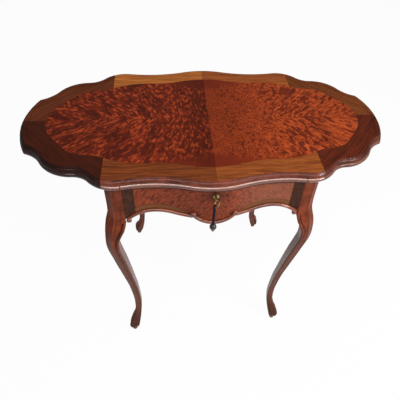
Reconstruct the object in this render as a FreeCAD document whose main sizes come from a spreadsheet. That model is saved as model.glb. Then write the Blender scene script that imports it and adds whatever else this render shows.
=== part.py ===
import FreeCAD, Part
import math
import os
import re
import types
import Sketcher
from FreeCAD import Placement, Rotation, Vector

# A drop-leaf dressing table: serpentine veneered top in three parts, one frieze drawer with a
# key and its tassel, four cabriole legs. X runs along the table, Y from front to back, Z up.

doc = FreeCAD.newDocument("DressingTable")

sizes = {
    # top: the lip line is the inner edge of the moulded rim, seen from above; its marks lie in
    # from the middle of the long side, and a leaf's scallops are shares of the leaf's length
    "tableHeight": 735, "topThick": 26, "veneer": 1.2, "lipRise": 0.8,
    "jointAt": 253, "jointGap": 0.5, "halfDepth": 227.5, "halfLength": 455,
    "bowX": 56, "bowIn": 7.5, "waistBack": 41.5, "waistIn": 15.5,
    "shoulderShare": 0.12, "shoulderIn": 39.5, "hollowShare": 0.34, "hollowIn": 60.5,
    "roundShare": 0.68, "roundIn": 101.5, "cuspShare": 0.895, "cuspIn": 140,
    # section of the moulded rim
    "rimDepth": 8, "rimReach": 11, "lipWide": 3, "grooveDrop": 3.4, "grooveWide": 1,
    "ovoloReach": 8.4, "ovoloFoot": 3, "filletFoot": 1.6, "quirkFoot": 1.2, "quirkReach": 6.8,
    "beadHigh": 9, "beadLow": 0.4, "beadUnder": 1,
    # burl field inside its border, its marks set out in the same way
    "borderWide": 44.5, "fieldBowX": 71, "fieldBowIn": 54.5, "fieldWaistX": 150,
    "fieldWaistIn": 64, "fieldJointIn": 86, "fieldHollowShare": 0.305, "fieldHollowIn": 98.2,
    "fieldRoundShare": 0.62, "fieldRoundIn": 121.5, "fieldTurnBack": 15, "fieldTurnIn": 174.3,
    "borderEnd": 50,
    # legs: reaches are measured outwards from the middle of the foot, along X and along Y;
    # heights of the foot from the floor, those of the knee and block down from the top
    "footIn": 18, "footBack": 29.5, "blockReach": 11.4, "blockInner": 23, "blockLong": 54,
    "kneeReach": 27.8, "kneeDrop": 169, "ankleReach": -11.6, "ankleHigh": 160,
    "toeReach": 12, "toeHigh": 45, "soleReach": 8.5, "heelInner": 10, "ankleInner": 29.5,
    "ankleBack": 150, "hamInner": 2, "hamDrop": 204, "earDrop": 115, "legRound": 3,
    "kneeCant": 13, "blockCant": 12, "padHigh": 8, "padRadius": 8.5,
    # aprons and drawer rails
    "apronThick": 20, "apronSetIn": 3.4, "apronEndDrop": 109, "apronArchDrop": 92,
    "apronLobeDrop": 113, "apronArchAt": 105, "railDeep": 24, "railUpperHigh": 20,
    "railDrop": 79, "railLowerHigh": 12,
    # drawer: the scallop's marks are measured down from the top's underside
    "faceReach": 1.5, "frontDeep": 37.5, "drawerGap": 0.4, "sideGap": 0.8,
    "lobeDrop": 120, "archIn": 70, "archDrop": 87, "voluteX": 50, "voluteDrop": 99,
    "risingShare": 0.54, "risingDrop": 93.5, "dropPast": 2, "dropDrop": 123,
    "cockBead": 6, "cockReach": 2.2, "voluteRound": 4.6, "voluteProud": 1, "bandWide": 25,
    "sideIn": 6.2, "sideThick": 10, "sideDrop": 23, "drawerShort": 30, "backThick": 10,
    "backDrop": 2, "bottomThick": 5, "bottomLift": 6, "grooveIn": 5, "tailLong": 14,
    "tailCount": 3, "tailNarrow": 0.25, "tailWide": 0.38,
    # lock, key and tassel
    "keyDrop": 23, "keyRadius": 2.5, "keyTurned": 35, "bowWire": 1.5, "bowDeep": 9.5,
    "keyOut": 34.5, "bitReach": 7.5, "bitThick": 2, "bitLong": 5, "collarWide": 1.2,
    "collarLong": 2.5, "collarBack": 0.5, "lockWide": 64, "lockDeep": 12, "lockWall": 1.5,
    "boltWide": 20, "boltThick": 5, "boltThrow": 7, "boltGap": 0.3, "boltLift": 3.3,
    "boltTail": 4, "pivotRadius": 1.5, "pivotGap": 0.05, "plateProud": 0.8, "plateDrop": 2,
    "loopWire": 1.1, "loopGap": 0.35, "cordRadius": 3, "cordDrop": 74.5,
    "knobRadius": 8.5, "knobLong": 28.5,
    # lopers, the sliding supports of the leaves
    "loperWide": 26, "loperHigh": 19, "loperLong": 232, "loperAt": 23, "loperGap": 0.3,
    "loperTravel": 150, "loperIn": 3, "tongue": 4, "tongueHigh": 5, "guideWide": 14,
    "pegRadius": 3.5, "pegHigh": 5, "pegIn": 12,
    # butt hinges
    "hingeAt": 120, "hingeLong": 40, "plateWide": 25, "plateThick": 1.6, "knuckle": 3,
    "knuckleGap": 0.4, "pinRadius": 1.2, "pinGap": 0.05, "axisDrop": 0.5, "barrels": 5,
    "barrelGap": 0.3,
}

sheet = doc.addObject("Spreadsheet::Sheet", "Sizes")
for row, (word, value) in enumerate(sizes.items(), 1):
    sheet.set(f"A{row}", word)
    sheet.set(f"B{row}", str(value))
    sheet.setAlias(f"B{row}", word)
doc.recompute()
d = types.SimpleNamespace(**{word: float(getattr(sheet, word)) for word in sizes})

up = Vector(0, 0, 1)
underside = d.tableHeight - d.topThick
fieldTop = d.tableHeight - d.lipRise
coreTop = fieldTop - d.veneer
# the legs stand just inside the joints, and the drawer and its box fit between them
footX = d.jointAt - d.footIn
footY = d.halfDepth - d.footBack
legInnerX = footX - d.blockInner
legInnerY = footY - d.blockInner
drawerHalf = legInnerX - d.sideGap
sideOut = drawerHalf - d.sideIn
frontInner = d.halfDepth - d.frontDeep
drawerBack = frontInner - d.drawerShort
railTop = underside - d.railDrop
sideTop = underside - d.sideDrop
keyHigh = underside - d.keyDrop
keyTip = d.halfDepth + d.keyOut
# the key stands in front of the table, so the table's middle lies behind the origin
setback = (d.keyOut - d.rimReach) / 2
setbackText = "(keyOut - rimReach) / 2"
far = 2 * d.halfLength
past = 1.0  # how far a cutting block runs past the face it opens
pieces = []


def bound(text):
    # every size's name in a formula is read from the sheet
    return re.sub(r"[A-Za-z]\w*", lambda word: "Sizes." + word.group(), text)


def block(name, x, y, z):
    # a box between pairs of formulas, not yet a piece by itself
    box = doc.addObject("Part::Box", name)
    for side, axis, (low, high) in (("Length", "x", x), ("Width", "y", y), ("Height", "z", z)):
        box.setExpression(side, bound(f"({high}) - ({low})"))
        box.setExpression(f"Placement.Base.{axis}", bound(low))
    return box


def keep(item, name):
    item.Label = name
    pieces.append(item)
    return item


def board(name, x, y, z):
    low, high = y
    shifted = (f"({low}) + {setbackText}", f"({high}) + {setbackText}")
    return keep(block(name, x, shifted, z), name)


def worked(name, base, tools):
    # a board with some blocks cut away
    cut = doc.addObject("Part::Cut", name)
    cut.Base = base
    if len(tools) > 1:
        joined = doc.addObject("Part::MultiFuse", name + "Cuts")
        joined.Shapes = tools
        cut.Tool = joined
    else:
        cut.Tool = tools[0]
    cut.setExpression("Placement.Base.y", bound(setbackText))
    return keep(cut, name)


def formed(name, shape):
    feature = doc.addObject("Part::Feature", name)
    feature.Shape = shape
    feature.Placement = Placement(Vector(0, setback, 0), Rotation()) * shape.Placement
    return keep(feature, name)


def box(x, y, z):
    return Part.makeBox(x[1] - x[0], y[1] - y[0], z[1] - z[0], Vector(x[0], y[0], z[0]))


def fused(shapes):
    whole = shapes[0] if len(shapes) == 1 else shapes[0].multiFuse(shapes[1:])
    solids = whole.removeSplitter().Solids
    return solids[0] if len(solids) == 1 else Part.makeCompound(solids)


def cutBy(shape, tools):
    solids = shape.cut(tools).Solids
    return solids[0] if len(solids) == 1 else Part.makeCompound(solids)


def shared(a, b):
    solids = a.common(b).Solids
    return solids[0] if len(solids) == 1 else Part.makeCompound(solids)


def mirrorX(shape):
    return shape.mirror(Vector(), Vector(1, 0, 0))


def mirrorY(shape):
    return shape.mirror(Vector(), Vector(0, 1, 0))


# outlines are chains of tangent arcs, each (centre, signed radius, first, last), where the last
# two are the angles of the outward normal; a hollow arc has a negative radius
def tangentArcs(start, heading, ends):
    arcs = []
    here = Vector(start[0], start[1], 0)
    for x, y in ends:
        there = Vector(x, y, 0)
        chord = there - here
        turn = 2 * (math.atan2(chord.y, chord.x) - heading)
        radius = -chord.Length / (2 * math.sin(turn / 2))
        first = heading + math.pi / 2
        centre = here - Vector(math.cos(first), math.sin(first), 0) * radius
        arcs.append((centre, radius, first, first + turn))
        heading += turn
        here = there
    return arcs


def closingArc(corner, tip):
    # an arc that leaves the corner and crosses the X axis squarely at the tip
    x, y = corner
    radius = ((tip - x) ** 2 + y**2) / (2 * (tip - x))
    return Vector(tip - radius, 0, 0), radius, math.atan2(y, x - tip + radius), 0.0


def onArc(arc, angle, reach):
    centre, radius = arc[:2]
    return centre + Vector(math.cos(angle), math.sin(angle), 0) * (radius + reach)


def meeting(a, b, reach):
    # where two arcs, both moved out by reach, cross near the end of the first
    ra, rb = abs(a[1] + reach), abs(b[1] + reach)
    line = b[0] - a[0]
    along = (line.Length**2 + ra**2 - rb**2) / (2 * line.Length)
    side = math.sqrt(max(ra**2 - along**2, 0))
    foot = a[0] + line * (along / line.Length)
    normal = Vector(-line.y, line.x, 0) / line.Length
    near = onArc(a, a[3], 0)
    return min((foot + normal * side, foot - normal * side), key=near.distanceToPoint)


def angleOn(arc, point, reach):
    spoke = (point - arc[0]) * (1 if arc[1] + reach > 0 else -1)
    return math.atan2(spoke.y, spoke.x)


def arcEdge(arc, reach, first=None, last=None):
    first = arc[2] if first is None else first
    last = arc[3] if last is None else last
    ends = [onArc(arc, angle, reach) for angle in (first, (first + last) / 2, last)]
    return Part.Arc(*ends).toShape()


def outlineFace(arcs, end, reach):
    # the closed outline: a quarter's arcs and its end arc, mirrored about both axes
    corner = meeting(arcs[-1], end, reach)
    edges = [arcEdge(arc, reach) for arc in arcs[:-1]]
    edges.append(arcEdge(arcs[-1], reach, last=angleOn(arcs[-1], corner, reach)))
    edges.append(arcEdge(end, reach, first=angleOn(end, corner, reach)))
    edges += [mirrorX(edge) for edge in edges]
    edges += [mirrorY(edge) for edge in edges]
    return Part.Face(Part.Wire(Part.__sortEdges__(edges)))


leafLong = d.halfLength - d.jointAt
cusp = (d.jointAt + d.cuspShare * leafLong, d.halfDepth - d.cuspIn)
rimArcs = tangentArcs(
    (0, d.halfDepth), 0,
    [(d.bowX, d.halfDepth - d.bowIn),
     (d.jointAt - d.waistBack, d.halfDepth - d.waistIn),
     (d.jointAt + d.shoulderShare * leafLong, d.halfDepth - d.shoulderIn),
     (d.jointAt + d.hollowShare * leafLong, d.halfDepth - d.hollowIn),
     (d.jointAt + d.roundShare * leafLong, d.halfDepth - d.roundIn), cusp],
)
rimEnd = closingArc(cusp, d.halfLength)
fieldTip = d.halfLength - d.borderEnd
fieldLong = fieldTip - d.jointAt
fieldTurn = (fieldTip - d.fieldTurnBack, d.halfDepth - d.fieldTurnIn)
fieldArcs = tangentArcs(
    (0, d.halfDepth - d.borderWide), 0,
    [(d.fieldBowX, d.halfDepth - d.fieldBowIn),
     (d.fieldWaistX, d.halfDepth - d.fieldWaistIn),
     (d.jointAt, d.halfDepth - d.fieldJointIn),
     (d.jointAt + d.fieldHollowShare * fieldLong, d.halfDepth - d.fieldHollowIn),
     (d.jointAt + d.fieldRoundShare * fieldLong, d.halfDepth - d.fieldRoundIn), fieldTurn],
)
fieldEnd = closingArc(fieldTurn, fieldTip)


def slab(reach, low, high):
    face = outlineFace(rimArcs, rimEnd, reach)
    face.translate(Vector(0, 0, low))
    return face.extrude(Vector(0, 0, high - low))


centreSpan = (-d.jointAt, d.jointAt)
leafSpan = (d.jointAt + d.jointGap, far)


def within(shape, span):
    return shared(shape, box(span, (-far, far), (0, 2 * d.tableHeight)))


# the moulded rim: its section turned about the centre of each arc of the outline
def sectionFace(arc, angle, outline):
    # outline: points (reach, height); a triple holds an arc's middle and end
    def place(reach, height):
        return onArc(arc, angle, reach) + Vector(0, 0, height)

    edges = []
    here = outline[0]
    for step in outline[1:] + outline[:1]:
        if len(step) == 4:
            edges.append(Part.Arc(place(*here), place(*step[:2]), place(*step[2:])).toShape())
            here = step[2:]
        else:
            edges.append(Part.makeLine(place(*here), place(*step)))
            here = step
    return Part.Face(Part.Wire(edges))


def swept(arc, outline, extraFirst=0.0, extraLast=0.0):
    sense = 1 if arc[3] > arc[2] else -1
    first = arc[2] - sense * extraFirst
    turn = arc[3] + sense * extraLast - first
    return sectionFace(arc, first, outline).revolve(arc[0], up, math.degrees(turn))


beadTop = underside + d.beadHigh
grooveFloor = d.tableHeight - d.grooveDrop
ovoloLow = beadTop + d.ovoloFoot
halfTurn = math.sqrt(0.5)
rimBead = (d.rimReach, underside + d.beadHigh / 2, d.quirkReach, underside + d.beadLow)
rimOutside = [
    (-d.lipWide / 3, d.tableHeight),
    (0, fieldTop),
    (0, grooveFloor),
    (d.grooveWide, grooveFloor),
    (d.grooveWide + (d.ovoloReach - d.grooveWide) * halfTurn,
     ovoloLow + (grooveFloor - ovoloLow) * halfTurn, d.ovoloReach, ovoloLow),
    (d.ovoloReach, beadTop + d.filletFoot),
    (d.quirkReach, beadTop + d.quirkFoot),
    (d.quirkReach, beadTop),
    rimBead,
    (d.quirkReach - d.beadUnder, underside),
]
rimInside = [
    (-d.rimDepth, underside),
    (-d.rimDepth, fieldTop),
    (-d.lipWide, fieldTop),
    (-d.lipWide * 2 / 3, d.tableHeight),
]


def rimQuarter():
    # the rim over x > 0, y > 0; at the cusp each run stops at the other's own outer face
    section = rimInside + rimOutside
    hollow, spare = rimArcs[-1], 2 * d.rimReach
    before = swept(hollow, section, extraLast=spare / abs(hollow[1]))
    after = swept(rimEnd, section, extraFirst=spare / rimEnd[1])
    reach = rimEnd[1]
    disc = [(-reach, underside), (-reach, d.tableHeight)] + rimOutside
    heart = abs(hollow[1])
    outside = [(heart, d.tableHeight)] + rimOutside + [(heart, underside)]
    before = before.common(swept(rimEnd, disc, extraFirst=math.pi / 4))
    after = after.cut(swept(hollow, outside, extraLast=math.pi / 4))
    return [swept(arc, section) for arc in rimArcs[:-1]] + [before, after]


quarter = fused(rimQuarter())
centreQuarter = within(quarter, (0, d.jointAt))
leafQuarter = within(quarter, leafSpan)
backRim = fused([centreQuarter, mirrorX(centreQuarter)])
leafRim = fused([leafQuarter, mirrorY(leafQuarter)])
rebateHalf = drawerHalf + d.drawerGap
rebate = box((-rebateHalf, rebateHalf), (-far, 0), (0, beadTop + d.drawerGap))
formed("top_moulding_back", backRim)
formed("top_moulding_front", cutBy(mirrorY(backRim), [rebate]))
formed("leaf_right_moulding", leafRim)
formed("leaf_left_moulding", mirrorX(leafRim))

# veneers: burl field and the border strips round it
fieldFace = outlineFace(fieldArcs, fieldEnd, 0)
fieldFace.translate(Vector(0, 0, coreTop))
field = fieldFace.extrude(Vector(0, 0, d.veneer))
border = slab(-d.rimDepth, coreTop, fieldTop).cut(field)
halfBack = box((-far, far), (0, far), (0, 2 * d.tableHeight))
halfFront = mirrorY(halfBack)
formed("top_burl_veneer", within(field, centreSpan))
formed("leaf_right_burl_veneer", within(field, leafSpan))
formed("leaf_left_burl_veneer", mirrorX(within(field, leafSpan)))
for side, half in (("front", halfFront), ("back", halfBack)):
    formed(f"top_border_{side}", shared(within(border, centreSpan), half))
    leafBorder = shared(within(border, leafSpan), half)
    formed(f"leaf_right_border_{side}", leafBorder)
    formed(f"leaf_left_border_{side}", mirrorX(leafBorder))

# butt hinges under the joints
axisX = d.jointAt + d.jointGap / 2
axisZ = underside - d.axisDrop
barrelLong = d.hingeLong / d.barrels


def along(radius, x, z, low, high):
    # a round bar along Y
    return Part.makeCylinder(radius, high - low, Vector(x, low, z), Vector(0, 1, 0))


def hingeSide(middle, sign, odd):
    # sign -1 is the frame's side of the axis, +1 the leaf's
    low, high = middle - d.hingeLong / 2, middle + d.hingeLong / 2
    near = axisX + sign * (d.knuckle + d.knuckleGap)
    edge = axisX + sign * (d.knuckle + d.plateWide)
    level = (underside, underside + d.plateThick)
    parts = [box(sorted((near, edge)), (low, high), level)]
    for turn in range(odd, int(d.barrels), 2):
        start = low + turn * barrelLong + (d.barrelGap if turn else 0)
        stop = low + (turn + 1) * barrelLong
        parts.append(along(d.knuckle, axisX, axisZ, start, stop))
        parts.append(box(sorted((axisX, near)), (start, stop), level))
    bore = d.pinRadius if odd == 0 else d.pinRadius + d.pinGap
    return fused(parts).cut(along(bore, axisX, axisZ, low - past, high + past))


def hingePair(sign, odd):
    sides = [hingeSide(sense * d.hingeAt, sign, odd) for sense in (-1, 1)]
    return Part.makeCompound([side.Solids[0] for side in sides])


hingePins = Part.makeCompound([
    along(d.pinRadius, axisX, axisZ, sense * d.hingeAt - d.hingeLong / 2,
          sense * d.hingeAt + d.hingeLong / 2)
    for sense in (-1, 1)
])
framePlates, leafPlates = hingePair(-1, 0), hingePair(1, 1)
formed("hinge_right_frame_plates", framePlates)
formed("hinge_left_frame_plates", mirrorX(framePlates))
formed("hinge_right_leaf_plates", leafPlates)
formed("hinge_left_leaf_plates", mirrorX(leafPlates))
formed("hinge_right_pins", hingePins)
formed("hinge_left_pins", mirrorX(hingePins))

knuckleSeats = []
for sense in (-1, 1):
    low = sense * d.hingeAt - d.hingeLong / 2
    high = low + d.hingeLong
    level = (underside - past, underside + d.plateThick)
    reach = d.knuckle + d.plateWide
    knuckleSeats.append(along(d.knuckle + d.knuckleGap, axisX, axisZ, low, high))
    knuckleSeats.append(box((axisX - reach, axisX + reach), (low, high), level))

# top boards
core = slab(-d.rimDepth, underside, coreTop)
loperOuter = footX + d.blockReach - d.apronSetIn - d.loperIn
pegAt = loperOuter - d.loperLong + d.pegIn
pegHalf = d.pegRadius + d.loperGap
pegSlots = []
for sign in (-1, 1):
    # the loper's peg runs in a stopped slot in the board's underside
    ends = sorted((sign * (pegAt - pegHalf), sign * (pegAt + d.loperTravel + pegHalf)))
    middle = sign * d.loperAt
    pegSlots.append(box(ends, (middle - pegHalf, middle + pegHalf),
                        (underside - past, underside + d.pegHigh + 1)))
boltY = -frontInner - d.lockWall - d.boltThick - 1
mortiseHalf = d.boltWide / 2 + 1
boltMortise = box((-mortiseHalf, mortiseHalf), (boltY - 1, boltY + d.boltThick + 1),
                  (underside - past, underside + d.boltThrow + 2))
centreSeats = knuckleSeats + [mirrorX(seat) for seat in knuckleSeats]
formed("top_panel", cutBy(within(core, centreSpan), centreSeats + pegSlots + [boltMortise]))
leafPanel = cutBy(within(core, leafSpan), knuckleSeats)
formed("leaf_right_panel", leafPanel)
formed("leaf_left_panel", mirrorX(leafPanel))


# legs: the same sawn line seen from the front and from the side, the four long edges drawn in
# by the lines seen along the diagonals: the outer one is canted broadly from the knee up, the
# others are eased; between two marks the reach swings over smoothly
kneeHigh = underside - d.kneeDrop
blockFoot = underside - d.blockLong
outerMarks = [(d.soleReach, d.padHigh), (d.toeReach, d.toeHigh), (d.ankleReach, d.ankleHigh),
              (d.kneeReach, kneeHigh), (d.blockReach, blockFoot), (d.blockReach, underside)]
cantMarks = [(d.legRound, d.padHigh), (d.legRound, d.toeHigh), (d.legRound, d.ankleHigh),
             (d.kneeCant, kneeHigh), (d.blockCant, blockFoot), (d.blockCant, underside)]
innerMarks = [(d.heelInner, d.padHigh), (d.ankleInner, d.ankleBack),
              (d.hamInner, underside - d.hamDrop), (d.blockInner, underside - d.earDrop),
              (d.blockInner, underside)]
diagonal = math.sqrt(2)


def reachAt(marks, height):
    # reach and slope of a sawn line at a height
    for (low, bottom), (high, top) in zip(marks, marks[1:]):
        if height <= top:
            part = (height - bottom) / (top - bottom)
            return (low + (high - low) * part * part * (3 - 2 * part),
                    (high - low) * 6 * part * (1 - part) / (top - bottom))


def outerLine(height):
    return reachAt(outerMarks, height)


def innerLine(height):
    return reachAt(innerMarks, height)


def cantLine(height):
    return reachAt(cantMarks, height)


def easedLine(height):
    return d.legRound, 0.0


def diagonalLine(first, second, drawnIn):
    # the line seen along a diagonal, drawn in by the width of the eased edge
    def line(height):
        (a, slopeA), (b, slopeB), (cut, slopeCut) = first(height), second(height), drawnIn(height)
        return (a + b - cut) / diagonal, (slopeA + slopeB - slopeCut) / diagonal
    return line


def sawnSide(line, sign, heights):
    edges = []
    for low, high in zip(heights, heights[1:]):
        (a, slopeA), (b, slopeB) = line(low), line(high)
        third = (high - low) / 3
        reaches = [a, a + slopeA * third, b - slopeB * third, b]
        poles = [Vector(sign * reach, 0, low + turn * third) for turn, reach in enumerate(reaches)]
        if max(reaches) - min(reaches) < 1e-6:
            edges.append(Part.makeLine(poles[0], poles[3]))
        else:
            curve = Part.BezierCurve()
            curve.setPoles(poles)
            edges.append(curve.toShape())
    return edges


def straight(a, b):
    return Part.makeLine(Vector(a[0], 0, a[1]), Vector(b[0], 0, b[1]))


outerHeights = [height for reach, height in outerMarks]
innerHeights = [height for reach, height in innerMarks]
allHeights = sorted(set(outerHeights + innerHeights))
legBlank = 4 * d.kneeReach


def silhouette(outer, inner, outerBreaks, innerBreaks, turn):
    right = sawnSide(outer, 1, outerBreaks)
    left = sawnSide(inner, -1, innerBreaks)
    closing = [straight((-inner(height)[0], height), (outer(height)[0], height))
               for height in (d.padHigh, underside)]
    plate = Part.Face(Part.Wire(Part.__sortEdges__(right + left + closing)))
    plate.translate(Vector(0, -legBlank / 2, 0))
    solid = plate.extrude(Vector(0, legBlank, 0))
    solid.rotate(Vector(), up, turn)
    return solid


leg = silhouette(outerLine, innerLine, outerHeights, innerHeights, 0)
for outer, inner, outerBreaks, innerBreaks, turn in (
    (outerLine, innerLine, outerHeights, innerHeights, 90),
    (diagonalLine(outerLine, outerLine, cantLine), diagonalLine(innerLine, innerLine, easedLine),
     outerHeights, innerHeights, 45),
    (diagonalLine(outerLine, innerLine, easedLine), diagonalLine(innerLine, outerLine, easedLine),
     allHeights, allHeights, -45),
):
    leg = shared(leg, silhouette(outer, inner, outerBreaks, innerBreaks, turn))
leg.translate(Vector(footX, footY, 0))
pad = Part.makeCylinder(d.padRadius, d.padHigh, Vector(footX, footY, 0))
pads = [pad, mirrorX(pad)]
pads += [mirrorY(item) for item in pads]
formed("leg_back_right", leg)
formed("leg_back_left", mirrorX(leg))
formed("leg_front_right", mirrorY(leg))
formed("leg_front_left", mirrorX(mirrorY(leg)))
formed("foot_pads", Part.makeCompound(pads))

# elevation of the drawer front, also used for the back apron
archAt = legInnerX - d.archIn
archHigh = underside - d.archDrop
voluteHigh = underside - d.voluteDrop
dropHigh = underside - d.dropDrop
lobeLow = underside - d.lobeDrop


def raised(edge):
    # an arc drawn in plan becomes an arc in elevation
    edge.rotate(Vector(), Vector(1, 0, 0), 90)
    return edge


def elevation(top, lift):
    # the scalloped outline of the frieze, its lower edge raised by lift
    apex = (archAt, archHigh)
    rising = (d.voluteX + d.risingShare * (archAt - d.voluteX), underside - d.risingDrop)
    inward = tangentArcs(apex, -math.pi, [rising, (d.voluteX, voluteHigh)])
    outward = tangentArcs(apex, 0, [(legInnerX + d.dropPast, dropHigh)])[0]
    sag = voluteHigh - lobeLow
    radius = (d.voluteX**2 + sag**2) / (2 * sag)
    lobeEnd = math.atan2(sag - radius, d.voluteX)
    lobe = (Vector(0, lobeLow + radius, 0), radius, lobeEnd, -math.pi / 2)
    corner = meeting(inward[-1], lobe, -lift)
    plan = [arcEdge(arc, -lift) for arc in inward[:-1]]
    plan.append(arcEdge(inward[-1], -lift, last=angleOn(inward[-1], corner, -lift)))
    plan.append(arcEdge(lobe, -lift, first=angleOn(lobe, corner, -lift)))
    plan.append(arcEdge(outward, lift))
    end = onArc(outward, outward[3], lift)
    right = [raised(edge) for edge in plan] + [straight((end.x, end.y), (end.x, top))]
    edges = right + [mirrorX(edge) for edge in right] + [straight((-end.x, top), (end.x, top))]
    return Part.Face(Part.Wire(Part.__sortEdges__(edges)))


def towardsFront(face, low, high):
    moved = face.copy()
    moved.translate(Vector(0, low, 0))
    return moved.extrude(Vector(0, high - low, 0))


frontTop = underside - d.drawerGap
frontLine = elevation(frontTop, d.cockBead)
ends = box((-drawerHalf, drawerHalf), (-far, far), (0, frontTop))
frontBlank = shared(towardsFront(frontLine, -far, -frontInner), ends)
faceCore = slab(d.faceReach - d.veneer, 0, d.tableHeight)
faceSkin = slab(d.faceReach, 0, d.tableHeight)

# dovetails: the sides' tails enter sockets in the back of the front
sideLow = railTop + d.drawerGap
tailPitch = (sideTop - sideLow) / d.tailCount


def tails(sign):
    shapes = []
    for count in range(int(d.tailCount)):
        middle = sideLow + (count + 0.5) * tailPitch
        narrow, wide = tailPitch * d.tailNarrow, tailPitch * d.tailWide
        start, stop = -frontInner, -frontInner - d.tailLong
        points = [(start, middle - narrow), (stop, middle - wide), (stop, middle + wide),
                  (start, middle + narrow), (start, middle - narrow)]
        wire = Part.makePolygon([Vector(sign * (sideOut - d.sideThick), y, z) for y, z in points])
        shapes.append(Part.Face(wire).extrude(Vector(sign * d.sideThick, 0, 0)))
    return shapes


lockTop = frontTop
lockLow = keyHigh - d.bitReach - d.boltThrow - 2 * d.lockWall
lockBox = ((-d.lockWide / 2, d.lockWide / 2), (-frontInner - d.lockDeep, -frontInner),
           (lockLow, lockTop))
keyhole = along(d.keyRadius + d.drawerGap, 0, keyHigh, -far, -frontInner)
keySlot = box((-d.bitThick / 2 - d.drawerGap, d.bitThick / 2 + d.drawerGap),
              (-far, -frontInner), (keyHigh - d.bitReach - d.drawerGap, keyHigh))
floorLow = sideLow + d.bottomLift
floorHalf = sideOut - d.sideThick + d.grooveIn
floorFront = -frontInner - d.grooveIn
floorLevel = (floorLow, floorLow + d.bottomThick)
frontGroove = box((-floorHalf, floorHalf), (floorFront, 0), floorLevel)
frontCuts = tails(1) + tails(-1) + [box(*lockBox), keyhole, keySlot, frontGroove]
frontCore = cutBy(shared(frontBlank, faceCore), frontCuts)
formed("drawer_front", frontCore)
skin = cutBy(shared(frontBlank, faceSkin), [faceCore, keyhole, keySlot])
bandInner = drawerHalf - d.bandWide
burlSpan = box((-bandInner, bandInner), (-far, 0), (0, d.tableHeight))
formed("drawer_burl_veneer", shared(skin, burlSpan))
formed("drawer_end_bands", Part.makeCompound(skin.cut(burlSpan).Solids))

# the stretch of the rim's bead that the drawer carries
carried = [
    (-d.rimDepth + d.drawerGap, frontTop),
    (-d.rimDepth + d.drawerGap, beadTop),
    (d.quirkReach, beadTop),
    rimBead,
    (d.quirkReach - d.beadUnder, frontTop),
]
carriedQuarter = shared(fused([swept(arc, carried) for arc in rimArcs[:3]]),
                        box((0, drawerHalf), (0, far), (0, d.tableHeight)))
formed("drawer_rim_bead", mirrorY(fused([carriedQuarter, mirrorX(carriedQuarter)])))

# carved bead along the scalloped lower edge, with volutes and end drops
beadFace = elevation(frontTop, 0).cut(frontLine)
beadBand = shared(towardsFront(beadFace, -far, -frontInner),
                  box((-drawerHalf, drawerHalf), (-far, 0), (0, archHigh + 2 * d.cockBead)))
beadOuter = slab(d.faceReach + d.cockReach, 0, d.tableHeight)
beadPlan = beadOuter.cut(slab(-d.cockBead, 0, d.tableHeight))
cockBead = shared(beadBand, beadPlan)
eyes = []
for x, z in ((d.voluteX + d.voluteRound / 2, voluteHigh + d.voluteProud),
             (drawerHalf - d.voluteRound - 2 * d.voluteProud, dropHigh + 2 * d.voluteRound)):
    eye = along(d.voluteRound, x, z, -far, -frontInner)
    eyes += [eye, mirrorX(eye)]
eyeOuter = slab(d.faceReach + d.cockReach + d.voluteProud, 0, d.tableHeight)
eyePlan = eyeOuter.cut(slab(d.faceReach, 0, d.tableHeight))
formed("drawer_cock_bead", fused([cockBead] + [shared(eye, eyePlan) for eye in eyes]))

# back apron: the same serpentine and scallop, between the back legs
backLine = elevation(underside, 0)
backBlank = shared(towardsFront(backLine, frontInner, far),
                   box((-legInnerX, legInnerX), (0, far), (0, underside)))
formed("back_apron", shared(backBlank, faceSkin))

# side aprons, each a padded sketch with a notch for its loper
def originPlane(body, role):
    return next(item for item in body.Origin.OriginFeatures if item.Role == role)


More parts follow.
